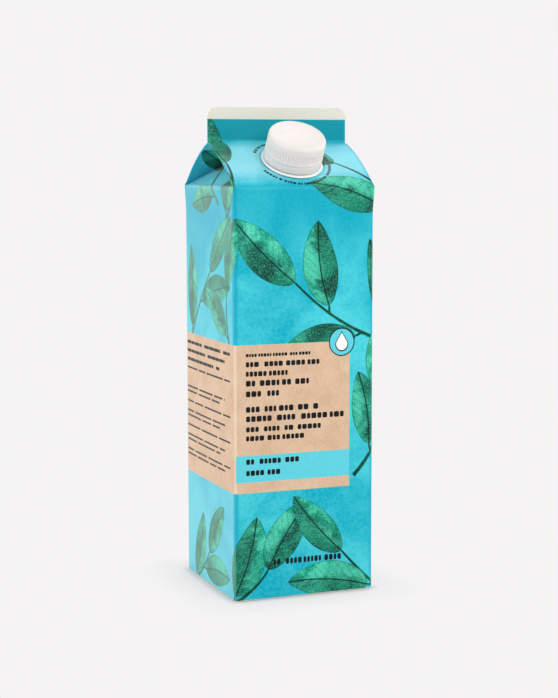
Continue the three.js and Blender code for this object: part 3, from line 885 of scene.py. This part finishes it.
def turquoise_material():
    """Washed turquoise: deeper on the fin and at the score, with painted shade along the folds, a painted
    highlight on the roof and a painted sheen on the sides.
    """
    shader = Shader("turquoise_print_and_painted_light")
    blank = shader.uv("blank")
    u, v = shader.split(blank)
    wash = shader.noise(blank, 2.6, 4, 0.55, 0.5)
    grain = shader.noise(blank, 55, 5, 0.7)
    color = shader.tint(srgb("#00a9bf"), "#47cbd7", wash, 0.36, 0.64, 1.0)
    color = shader.tint(color, "#7adfe5", grain, 0.4, 0.7, 0.18)
    color = shader.tint(color, "#0098ae", grain, 0.5, 0.3, 0.3)
    color = shader.tint(color, "#008c9c", v, RIDGE_V - 0.01, RIDGE_V + 0.015, 0.9)
    near_score = shader.between(v, SCORE_V - 0.57, SCORE_V - 0.02, SCORE_V + 0.005, SCORE_V + 0.04)
    color = shader.mix(shader.times(near_score, 0.65), color, srgb("#00a3ba"))
    on_side = side_panel(shader, u)
    # Painted highlight: the roof of the front and back panels is painted paler, standing in for the light
    # from above.
    on_roof = shader.between(v, SCORE_V + 0.01, SCORE_V + 0.13, RIDGE_V - 0.08, RIDGE_V)
    painted_roof_highlight = shader.times(on_roof, shader.math("SUBTRACT", 0.45, on_side, clamp=True))
    color = shader.mix(painted_roof_highlight, color, srgb("#a4e8f5"))
    # Painted sheen: the left and right panels are painted paler, most near the foot.
    painted_side_sheen = shader.times(on_side, shader.range(v, 0.1, 1.9, 0.42, 0.12, False))
    color = shader.mix(painted_side_sheen, color, srgb("#93dcec"))
    # Painted shade: the turquoise is deepened within a few millimetres of each upright fold.
    color = shader.tint(color, "#009dbd", off_fold(shader, u), 0.022, 0.004, 0.7)
    return board_finish(shader, color)


def leaf_material():
    """Green leaf, one half lighter, with grain, slanting veins, a dark midrib, a darker edge and a painted
    sheen on the side panels.
    """
    shader = Shader("leaf_print_and_painted_sheen")
    blank = shader.uv("blank")
    u, v = shader.split(blank)
    along, across = shader.split(shader.uv("leaf"))
    inside, tone = shader.split(shader.uv("edge"))
    off_rib = shader.math("ABSOLUTE", across)
    wash = shader.noise(blank, 8, 4, 0.6, 0.8)
    grain = shader.noise(blank, 135, 4, 0.75)
    drift = shader.times(shader.math("SUBTRACT", wash, 0.5), 0.12)
    half = shader.range(shader.math("ADD", across, drift), -0.02, 0.05)
    dark = shader.tint(srgb("#002c20"), "#007a5e", wash, 0.38, 0.6, 1.0)
    light = shader.tint(srgb("#00a181"), "#55d6b5", wash, 0.38, 0.6, 1.0)
    outer = shader.range(along, 0.08, 0.42, 0.0, 0.7)
    lit = shader.math("ADD", shader.times(half, 0.75), shader.times(outer, tone), clamp=True)
    color = shader.mix(lit, dark, light)
    color = shader.tint(color, "#72e4c9", grain, 0.47, 0.64, 0.32)
    color = shader.tint(color, "#002a20", grain, 0.5, 0.36, 0.42)
    slanted = shader.math("SUBTRACT", along, shader.times(off_rib, 1.1))
    slanted = shader.math("ADD", slanted, shader.times(wash, 0.06))
    veins = shader.math("SINE", shader.times(slanted, 2 * math.pi / VEIN_SPACING))
    color = shader.tint(color, "#004a3a", veins, 0.6, 1.0, 0.26)
    rough_rib = shader.times(shader.noise(blank, 60, 2), 0.004)
    rib = shader.range(off_rib, rough_rib, 0.0055, 0.9, 0.0)
    color = shader.mix(rib, color, srgb("#002c24"))
    color = shader.tint(color, "#005646", inside, 0.007, 0.0, 0.55)
    # Painted sheen: leaves on the left and right panels are painted paler below the roof.
    painted_side_sheen = shader.times(side_panel(shader, u), shader.range(v, 1.95, 1.9, 0.0, 0.3))
    color = shader.mix(painted_side_sheen, color, srgb("#8cc4b2"))
    return board_finish(shader, color)


def plain_print(name, code, other, amount=0.35, scale=60):
    shader = Shader(name)
    grain = shader.noise(shader.uv("blank"), scale, 4, 0.65)
    return board_finish(shader, shader.tint(srgb(code), other, grain, 0.35, 0.7, amount))


def kraft_material():
    """Kraft colour with two layers of crossing fibres, and a painted highlight along the folds."""
    shader = Shader("kraft_print_and_painted_highlight")
    blank = shader.uv("blank")
    u = shader.split(blank)[0]
    color = shader.tint(srgb("#cfab8d"), "#dabb9d", shader.noise(blank, 9, 4, 0.6), 0.3, 0.7, 1.0)
    for turn, seed in ((0.35, 3.0), (-0.5, 8.0)):
        stretched = shader.node("Mapping", {
            "Vector": blank, "Location": (seed, seed, 0), "Scale": (1, 3.4, 1), "Rotation": (0, 0, turn)})
        fibre = shader.noise(stretched.outputs["Vector"], 110, 3, 0.7)
        color = shader.tint(color, "#a77f5f", fibre, 0.57, 0.7, 0.8)
        color = shader.tint(color, "#f4e3cf", fibre, 0.43, 0.3, 0.8)
    # Painted highlight: the kraft is painted paler within a few millimetres of each upright fold.
    color = shader.tint(color, "#f0ddc4", off_fold(shader, u), 0.012, 0.003, 0.5)
    return board_finish(shader, color)


def raw_board_material():
    """Board without print: pale, with fine lines from the sealing jaws."""
    shader = Shader("bare_board")
    blank = shader.uv("blank")
    v = shader.split(blank)[1]
    lines = shader.math("SINE", shader.times(v, 2 * math.pi / JAW_LINE_SPACING))
    color = shader.tint(srgb("#dcdacd"), "#c9cabd", lines, -1, 1, 0.35)
    color = shader.tint(color, "#e8e4da", shader.noise(blank, 60, 4), 0.35, 0.7, 0.3)
    return board_finish(shader, color, BARE_COAT)


def plastic_material(name, code, shade):
    """Satin white moulded plastic with faint flow marks."""
    shader = Shader(name)
    place = shader.node("TexCoord").outputs["Object"]
    cloud = shader.noise(place, 160, 3)
    color = shader.tint(srgb(code), shade, cloud, 0.35, 0.7, 0.5)
    rough = shader.range(cloud, 0.3, 0.7, 0.46, 0.56, False)
    return shader.finish(color, rough, shader.noise(place, 2600, 3), 0.12, 0.0001, {
        "Specular IOR Level": PLASTIC_SPECULAR, "Subsurface Weight": 0.06,
        "Subsurface Scale": 0.002, "Subsurface Radius": (1, 0.85, 0.7)})


def print_materials():
    return {
        "turquoise": turquoise_material(),
        "leaf": leaf_material(),
        "kraft": kraft_material(),
        "stripe": plain_print("print_aqua_stripe", "#5acad8", "#70d6e1"),
        "ink": plain_print("print_ink", "#121416", "#272a2c", 0.5, 90),
        "white": plain_print("print_white", "#f2f4f2", "#dfe9ea", 0.3),
        "board": raw_board_material(),
    }


BOARD_SHARP = 32                     # degrees past which an edge stays sharp
CLOSURE_SHARP = 38


def make_carton():
    """Joins the carton's faces in one mesh, with a material and print coordinates on each."""
    surface = Surface()
    carton_skin(surface)
    underside(surface)
    socket(surface)
    base_flap(surface)
    materials = print_materials()
    inks = list(materials)
    mesh = bpy.data.meshes.new("carton_skin")
    mesh.from_pydata([p * METRE for p in surface.corners], [], surface.faces)
    for ink in inks:
        mesh.materials.append(materials[ink])
    mesh.polygons.foreach_set("material_index", [inks.index(ink) for ink in surface.inks])
    values = np.array([p for corner_prints in surface.prints for p in corner_prints]) / UV_UNIT
    for name, columns in (("blank", (0, 1)), ("leaf", (2, 3)), ("edge", (4, 5))):
        layer = mesh.uv_layers.new(name=name)
        pair = values[:, columns].copy()
        if name == "edge":
            pair[:, 1] *= UV_UNIT
        layer.data.foreach_set("uv", pair.astype(np.float32).ravel())
    add_piece(mesh, "carton", "carton", BOARD_SHARP)


def add_piece(mesh, body, node, sharp):
    """Shades a mesh and puts it in the scene in place of a CAD node."""
    mesh.validate()
    mesh.polygons.foreach_set("use_smooth", [True] * len(mesh.polygons))
    mesh.set_sharp_from_angle(angle=math.radians(sharp))
    mesh.update()
    piece = bpy.data.objects.new(mesh.name, mesh)
    bpy.context.scene.collection.objects.link(piece)
    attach(piece, body)
    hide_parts(node)


# The closure

FLANGE_TOP = 1.2
NECK_RADIUS = 11.2
BORE_RADIUS = 9.7
NECK_TOP = 13.2
BEAD_RADIUS = 12.25
BEAD_BOTTOM = 3.7
BEAD_TOP = 5.3
BEAD_EDGE = 0.3
NECK_ROUNDING = 0.45
FLANGE_RADIUS = 14.6
FLANGE_BOTTOM = 0.3
FLANGE_ROUNDING = 0.38
MEMBRANE_BOTTOM = 0.6
BAND_BOTTOM = 1.8
BAND_TOP = 5.27
BAND_INNER = 12.65
BAND_CATCH = 11.6
BAND_ROUNDING = 0.3
BAND_CHAMFER = 0.12
CATCH_CHAMFER = 0.25
CATCH_PLAY = 0.4                     # between the catch and the bead above it
CAP_BOTTOM = 5.4
CAP_TOP = 15.1
CAP_RADIUS = 13.75
CAP_DRAFT = 0.2
CAP_CHAMFER = 0.2
CAP_INNER = 12.75
CROWN_UNDERSIDE = 13.9
SHOULDER = 2.4
SHOULDER_TURN = 59                   # degrees of the shoulder before it meets the crown
CROWN_DISH = 0.3
CROWN_STEPS = ((0.1, 0), (0.3, 0), (0.4, 0.05), (0.6, 0.25), (0.7, CROWN_DISH))   # inward and down
RIB_COUNT = 72
RIB_DEPTH = 0.32
RIB_BOTTOM = 6.1
RIB_TOP = 10.8
RIB_FADE = 0.7
PLUG_RADIUS = 9.3
PLUG_WALL = 0.9
PLUG_LENGTH = 2.3
PLUG_CHAMFER = 0.3
THREAD_LEAD = 9
THREAD_STARTS = 3
THREAD_DEPTH = 1.05
THREAD_PLAY = 0.5                    # between the crest in the cap and the neck
THREAD_ROOT = 0.3                    # how far a thread reaches into its wall
THREAD_SECTION = (0.55, 0.25)        # half of its height at the root and at the crest
THREAD_STEPS = 96                    # in a full turn
THREAD_RUN_OUT = 8                   # steps over which an end runs out
THREAD_END = 0.05
THREAD_TOP_MARGIN = 2.1
NECK_THREAD_BOTTOM = 7
CAP_THREAD_BOTTOM = 8.5
PULL_RING = 5.6                      # radius of the pull ring on the membrane
PULL_BAR = 0.85
PULL_HEIGHT = 5.4
PULL_STEM_FOOT = 1.275
PULL_STEM_TOP = 0.765
PULL_ROOT = 0.4
BRIDGE_COUNT = 12                    # tear-off bridges in the slit between band and cap
BRIDGE_WIDTH = 0.8
BRIDGE_ROOT = 0.2
BRIDGE_PLAY = 0.03
LATHE_STEPS = 576
SPOUT_STEPS = 144
RING_STEPS = 72
BAR_SIDES = 24


def arc_profile(centre, radius, start, end, steps=6):
    """Points of a profile along an arc, from one angle to another in degrees."""
    turns = [math.radians(start + (end - start) * i / steps) for i in range(steps + 1)]
    return [(centre[0] + radius * math.cos(a), centre[1] + radius * math.sin(a)) for a in turns]


def round_section(centre, radius):
    """Circle as a profile."""
    return arc_profile(centre, radius, 0, 360 - 360 / BAR_SIDES, BAR_SIDES - 1)


def on_land(x, y, z):
    """Place of a point given about the closure's axis."""
    return LAND_CENTRE + Vector((1, 0, 0)) * x + UP_ROOF * y + AXIS * z


class Moulding:
    """Collects the faces of a moulded piece."""

    def __init__(self):
        self.points = []
        self.faces = []

    def lathe(self, profile, steps=LATHE_STEPS, ripple=None):
        """Revolves a closed profile of (radius, height), radius changed by the ripple."""
        start = len(self.points)
        count = len(profile)
        for step in range(steps):
            angle = 2 * math.pi * step / steps
            for radius, height in profile:
                grown = radius + (ripple(radius, height, angle) if ripple else 0)
                self.points.append(on_land(grown * math.cos(angle), grown * math.sin(angle), height))
        for step in range(steps):
            here = start + step * count
            following = start + (step + 1) % steps * count
            for i in range(count - 1):
                self.faces.append((here + i, following + i, following + i + 1, here + i + 1))
        return start, count

    def disc_lathe(self, profile, steps=LATHE_STEPS, ripple=None):
        """As lathe, for a profile that starts and ends on the axis."""
        start, count = self.lathe(profile[1:-1], steps, ripple)
        for end, (radius, height) in ((0, profile[0]), (count - 1, profile[-1])):
            self.points.append(on_land(0, 0, height))
            hub = len(self.points) - 1
            for step in range(steps):
                here = start + step * count + end
                following = start + (step + 1) % steps * count + end
                self.faces.append((hub, following, here) if end == 0 else (hub, here, following))

    def ring_lathe(self, profile):
        """As lathe, for a profile that closes on itself."""
        self.lathe([*profile, profile[0]])

    def skin(self, rows, ring=False):
        """Joins rows of equal point counts; in a ring the last row meets the first."""
        start = len(self.points)
        count = len(rows[0])
        for row in rows:
            self.points += [on_land(*point) for point in row]
        for step in range(len(rows) if ring else len(rows) - 1):
            low = start + step * count
            high = start + (step + 1) % len(rows) * count
            for i in range(count):
                j = (i + 1) % count
                self.faces.append((low + i, low + j, high + j, high + i))
        if not ring:
            self.faces.append(tuple(range(start, start + count)))
            self.faces.append(tuple(range(len(self.points) - count, len(self.points))))

    def thread(self, wall_radius, depth, bottom, top, phase):
        """Helical ridge with ends that run out."""
        turn = (top - bottom) / THREAD_LEAD
        steps = math.ceil(turn * THREAD_STEPS)
        rooted = wall_radius - math.copysign(THREAD_ROOT, depth)
        root, crest_half = THREAD_SECTION
        rows = []
        for step in range(steps + 1):
            share = step / steps
            angle = phase + share * turn * 2 * math.pi
            height = bottom + (top - bottom) * share
            run_out = min(max(min(step, steps - step) / THREAD_RUN_OUT, THREAD_END), 1)
            crest = wall_radius + depth * run_out
            section = [(rooted, -root), (crest, -crest_half), (crest, crest_half), (rooted, root)]
            rows.append([(radius * math.cos(angle), radius * math.sin(angle), height + lift)
                         for radius, lift in section])
        self.skin(rows)

    def round_bar(self, radius, bar, height):
        """Ring of round section about the axis."""
        rows = []
        section = round_section((radius, height), bar)
        for step in range(RING_STEPS):
            angle = math.radians(step * 360 / RING_STEPS)
            rows.append([(out * math.cos(angle), out * math.sin(angle), z) for out, z in section])
        self.skin(rows, True)

    def stem(self, place, low, high):
        """Upright round stem between two (radius, height) ends."""
        rows = []
        for radius, height in (low, high):
            rows.append([(x, y, height) for x, y in round_section(place, radius)])
        self.skin(rows)

    def block(self, radius, angle, depth, width, bottom, top):
        """Small box that stands across a radius."""
        turn = Matrix.Rotation(angle, 2)
        rows = []
        for height in (bottom, top):
            row = []
            for x, y in ((-depth, -width), (depth, -width), (depth, width), (-depth, width)):
                place = turn @ Vector((radius + x / 2, y / 2))
                row.append((place.x, place.y, height))
            rows.append(row)
        self.skin(rows)

    def mesh(self, name):
        mesh = bpy.data.meshes.new(name)
        mesh.from_pydata([p * METRE for p in self.points], [], self.faces)
        mesh.validate()
        made = bmesh.new()
        made.from_mesh(mesh)
        bmesh.ops.remove_doubles(made, verts=made.verts, dist=2e-7)
        bmesh.ops.recalc_face_normals(made, faces=made.faces)
        made.to_mesh(mesh)
        made.free()
        return mesh


def rib_ripple(radius, height, angle):
    """Fine upright ribs on the side of the cap."""
    if radius < CAP_INNER + 0.3 or not RIB_BOTTOM <= height <= RIB_TOP:
        return 0
    fade = min(1, (height - RIB_BOTTOM) / RIB_FADE, (RIB_TOP - height) / RIB_FADE)
    wave = 0.5 - 0.5 * math.cos(angle * RIB_COUNT)
    return -RIB_DEPTH * max(fade, 0) * wave ** 1.3


def threads(made, radius, depth, bottom, top):
    """All starts of a thread."""
    for start in range(THREAD_STARTS):
        made.thread(radius, depth, bottom, top - THREAD_TOP_MARGIN, start * 2 * math.pi / THREAD_STARTS)


def cap_moulding():
    """Ribbed cap with its shoulder, dished crown, inner thread and seal ring."""
    made = Moulding()
    top = CAP_RADIUS - CAP_DRAFT
    draft = CAP_DRAFT / (CAP_TOP - SHOULDER - CAP_BOTTOM)
    rise = SHOULDER * math.sin(math.radians(SHOULDER_TURN))
    plug_bottom = CROWN_UNDERSIDE - PLUG_LENGTH
    inner = [(0, CROWN_UNDERSIDE), (PLUG_RADIUS - PLUG_WALL, CROWN_UNDERSIDE),
             (PLUG_RADIUS - PLUG_WALL, plug_bottom), (PLUG_RADIUS - PLUG_CHAMFER, plug_bottom),
             (PLUG_RADIUS, plug_bottom + PLUG_CHAMFER), (PLUG_RADIUS, CROWN_UNDERSIDE),
             (CAP_INNER - CAP_DRAFT, CROWN_UNDERSIDE), (CAP_INNER, CAP_BOTTOM)]
    foot = [(CAP_RADIUS - CAP_CHAMFER, CAP_BOTTOM),
            (CAP_RADIUS - 0.3 * CAP_CHAMFER, CAP_BOTTOM + 0.3 * CAP_CHAMFER),
            (CAP_RADIUS, CAP_BOTTOM + CAP_CHAMFER)]
    side = [(CAP_RADIUS - draft * (z - CAP_BOTTOM), z) for z in np.linspace(RIB_BOTTOM, RIB_TOP, 15)]
    shoulder = arc_profile((top - SHOULDER, CAP_TOP - rise), SHOULDER, 0, SHOULDER_TURN, 7)
    crown = [(shoulder[-1][0] - inward, CAP_TOP - down) for inward, down in CROWN_STEPS]
    middle = (0, CAP_TOP - CROWN_DISH)
    made.disc_lathe([*inner, *foot, *side, *shoulder, *crown, middle], ripple=rib_ripple)
    wall_radius = CAP_INNER - CAP_DRAFT / 2
    depth = wall_radius - NECK_RADIUS - THREAD_PLAY
    threads(made, wall_radius, -depth, CAP_THREAD_BOTTOM, CROWN_UNDERSIDE)
    return made.mesh("screw_cap")


def band_moulding():
    """Tamper band with its inner catch and the bridges to the cap."""
    made = Moulding()
    made.ring_lathe([
        (BAND_CATCH, BAND_BOTTOM + CATCH_CHAMFER), (BAND_INNER - CATCH_CHAMFER, BAND_BOTTOM),
        (CAP_RADIUS - BAND_ROUNDING, BAND_BOTTOM), (CAP_RADIUS - 0.08, BAND_BOTTOM + 0.08),
        (CAP_RADIUS, BAND_BOTTOM + BAND_ROUNDING), (CAP_RADIUS, BAND_TOP - BAND_CHAMFER),
        (CAP_RADIUS - BAND_CHAMFER, BAND_TOP), (BAND_INNER, BAND_TOP),
        (BAND_INNER, BEAD_BOTTOM - CATCH_PLAY), (BAND_CATCH, BEAD_BOTTOM - CATCH_PLAY - CATCH_CHAMFER)])
    middle = (CAP_RADIUS + BAND_INNER) / 2
    depth = (CAP_RADIUS - BAND_INNER) / 2
    for i in range(BRIDGE_COUNT):
        angle = (i + 0.5) * 2 * math.pi / BRIDGE_COUNT
        made.block(middle, angle, depth, BRIDGE_WIDTH, BAND_TOP - BRIDGE_ROOT, CAP_BOTTOM - BRIDGE_PLAY)
    return made.mesh("tear_band")


def spout_moulding():
    """Spout with its flange, bead, thread, membrane and pull ring."""
    made = Moulding()
    foot = FLANGE_BOTTOM - SOCKET_DEPTH
    corner = FLANGE_RADIUS - FLANGE_ROUNDING
    lip = NECK_TOP - NECK_ROUNDING
    made.disc_lathe([
        (0, MEMBRANE_BOTTOM), (BORE_RADIUS, MEMBRANE_BOTTOM), (BORE_RADIUS, foot), (NECK_RADIUS, foot),
        (NECK_RADIUS, FLANGE_BOTTOM),
        *arc_profile((corner, FLANGE_BOTTOM + FLANGE_ROUNDING), FLANGE_ROUNDING, -90, 0, 4),
        *arc_profile((corner, FLANGE_TOP - FLANGE_ROUNDING), FLANGE_ROUNDING, 0, 90, 4),
        (NECK_RADIUS, FLANGE_TOP), (NECK_RADIUS, BEAD_BOTTOM), (BEAD_RADIUS, BEAD_BOTTOM),
        (BEAD_RADIUS, BEAD_BOTTOM + BEAD_EDGE), (NECK_RADIUS, BEAD_TOP),
        *arc_profile((NECK_RADIUS - NECK_ROUNDING, lip), NECK_ROUNDING, 0, 90, 4),
        *arc_profile((BORE_RADIUS + NECK_ROUNDING, lip), NECK_ROUNDING, 90, 180, 4),
        (BORE_RADIUS, FLANGE_TOP), (0, FLANGE_TOP)], SPOUT_STEPS)
    threads(made, NECK_RADIUS, THREAD_DEPTH, NECK_THREAD_BOTTOM, NECK_TOP)
    made.round_bar(PULL_RING, PULL_BAR, PULL_HEIGHT)
    made.stem((0, -PULL_RING), (PULL_STEM_FOOT, FLANGE_TOP - PULL_ROOT), (PULL_STEM_TOP, PULL_HEIGHT))
    return made.mesh("spout_moulding")


def make_closure():
    cap_white = plastic_material("plastic_cap", "#e3dcd9", "#dbd4d0")
    spout_white = plastic_material("plastic_spout", "#f3f1ee", "#e9e5e0")
    pieces = (
        (cap_moulding(), cap_white, "cap_plastic", "cap", "cap"),
        (band_moulding(), cap_white, "cap_plastic", "tamper_band", "tamper_band"),
        (spout_moulding(), spout_white, "spout_plastic", "carton", "spout"),
    )
    for mesh, material, slot, body, node in pieces:
        mesh.materials.append(material)
        add_piece(mesh, body, node, CLOSURE_SHARP)


# Studio

CAMERA_PLACE = Vector((-288.8, -737.7, 205.8))
CAMERA_AZIMUTH = math.radians(-21.43)
CAMERA_ELEVATION = math.radians(6.65)
CAMERA_ROLL = math.radians(-0.1)
CAMERA_LENS = 85.03
CAMERA_SENSOR = 36
BACKGROUND = srgb("#f5f3f4")
WORLD_LEVEL = 0.68
LAMP_TARGET = (0, 0, 0.12)
LAMPS = (                            # name, place, target, size and watts
    ("overhead", (0.47, 0.4, 1.34), (0, 0, 0.2), (0.36, 0.36), 2.4),
    ("front", (0.45, -1.2, 0.9), LAMP_TARGET, (0.7, 0.7), 7.5),
    ("left", (-1.2, 0, 0.5), LAMP_TARGET, (1.1, 1), 7.4),
    ("right", (1.2, -0.45, 0.45), LAMP_TARGET, (0.8, 0.9), 4.5),
    ("back", (-0.2, 1.4, 0.6), LAMP_TARGET, (1.2, 0.8), 4),
)
FLOOR_COLOR = srgb("#dfdedf")
FLOOR_REACH = 6
FLOOR_OPENING = 1.4                  # millimetres from the carton's side to the opening under its base
SHADOW_REACH = 0.028                 # metres past the carton's foot
SHADOW_FADE = 0.64
CONTACT_REACH = 0.0045               # dark line close to the foot
CONTACT_FADE = 0.05


def make_camera():
    """Camera at the photograph's viewing angle."""
    data = bpy.data.cameras.new("camera")
    data.lens = CAMERA_LENS
    data.sensor_width = CAMERA_SENSOR
    data.clip_end = 100
    camera = bpy.data.objects.new("camera", data)
    bpy.context.scene.collection.objects.link(camera)
    back = Vector((math.sin(CAMERA_AZIMUTH) * math.cos(CAMERA_ELEVATION),
                   -math.cos(CAMERA_AZIMUTH) * math.cos(CAMERA_ELEVATION), math.sin(CAMERA_ELEVATION)))
    right = Vector((0, 0, 1)).cross(back).normalized()
    up = back.cross(right)
    turned_right = right * math.cos(CAMERA_ROLL) + up * math.sin(CAMERA_ROLL)
    turned_up = up * math.cos(CAMERA_ROLL) - right * math.sin(CAMERA_ROLL)
    matrix = Matrix((turned_right, turned_up, back)).transposed().to_4x4()
    matrix.translation = CAMERA_PLACE * METRE
    camera.matrix_world = matrix
    bpy.context.scene.camera = camera


def seen_rays(tree):
    """1 for the rays that see the plain background: camera, glossy and transmitted ones."""
    path = tree.nodes.new("ShaderNodeLightPath")
    rays = path.outputs["Is Camera Ray"]
    for name in ("Is Glossy Ray", "Is Transmission Ray"):
        either = tree.nodes.new("ShaderNodeMath")
        either.operation = "MAXIMUM"
        tree.links.new(rays, either.inputs[0])
        tree.links.new(path.outputs[name], either.inputs[1])
        rays = either.outputs[0]
    return rays


def make_floor():
    """Pale floor that shows the carton's shadow and runs out into the background. An opening in it,
    which the carton covers, lets light reach the base for views from below."""
    shader = Shader("studio_floor")
    geometry = shader.node("NewGeometry")
    beside = shader.vector("ABSOLUTE", geometry.outputs["Position"])
    past = shader.vector("SUBTRACT", beside, (HALF * METRE, HALF * METRE, 0))
    outside = shader.vector("MAXIMUM", past, (0, 0, 0))
    distance = shader.vector("LENGTH", outside, output="Value")
    far = shader.range(distance, 0.0, SHADOW_REACH, SHADOW_FADE)
    close = shader.range(distance, 0.0, CONTACT_REACH, CONTACT_FADE)
    plain_share = shader.times(seen_rays(shader.tree), shader.times(far, close))
    diffuse = shader.node("BsdfDiffuse", {"Color": FLOOR_COLOR})
    plain = shader.node("Emission", {"Color": BACKGROUND, "Strength": 1.0})
    top = shader.mix_shaders(plain_share, diffuse, plain)
    both = shader.mix_shaders(geometry.outputs["Backfacing"], top, shader.node("BsdfTransparent"))
    shader.tree.links.new(both.outputs[0], shader.output.inputs["Surface"])
    mesh = bpy.data.meshes.new("studio_floor")
    halves = (FLOOR_REACH, (HALF - FLOOR_OPENING) * METRE)
    places = [(x * half, y * half, 0) for half in halves for x, y in ((-1, -1), (1, -1), (1, 1), (-1, 1))]
    mesh.from_pydata(places, [], [(i, (i + 1) % 4, (i + 1) % 4 + 4, i + 4) for i in range(4)])
    mesh.materials.append(shader.material)
    floor = bpy.data.objects.new("studio_floor", mesh)
    bpy.context.scene.collection.objects.link(floor)


def make_world():
    """White soft light all round, behind which the background keeps its own colour."""
    world = bpy.data.worlds.new("studio")
    world.use_nodes = True
    tree = world.node_tree
    light = tree.nodes["Background"]
    light.inputs["Color"].default_value = (1, 1, 1, 1)
    light.inputs["Strength"].default_value = WORLD_LEVEL
    backdrop = tree.nodes.new("ShaderNodeBackground")
    backdrop.inputs["Color"].default_value = BACKGROUND
    mixed = tree.nodes.new("ShaderNodeMixShader")
    tree.links.new(seen_rays(tree), mixed.inputs["Fac"])
    tree.links.new(light.outputs[0], mixed.inputs[1])
    tree.links.new(backdrop.outputs[0], mixed.inputs[2])
    tree.links.new(mixed.outputs[0], tree.nodes["World Output"].inputs["Surface"])
    bpy.context.scene.world = world


def make_lamps():
    for name, place, target, size, watts in LAMPS:
        data = bpy.data.lights.new(name, "AREA")
        data.shape = "RECTANGLE"
        data.size, data.size_y = size
        data.energy = watts
        lamp = bpy.data.objects.new(name, data)
        bpy.context.scene.collection.objects.link(lamp)
        aim = Vector(target) - Vector(place)
        lamp.rotation_euler = aim.to_track_quat("-Z", "Y").to_euler()
        lamp.location = place


make_carton()
make_closure()
make_camera()
make_floor()
make_world()
make_lamps()

bpy.context.scene.view_settings.view_transform = "Standard"
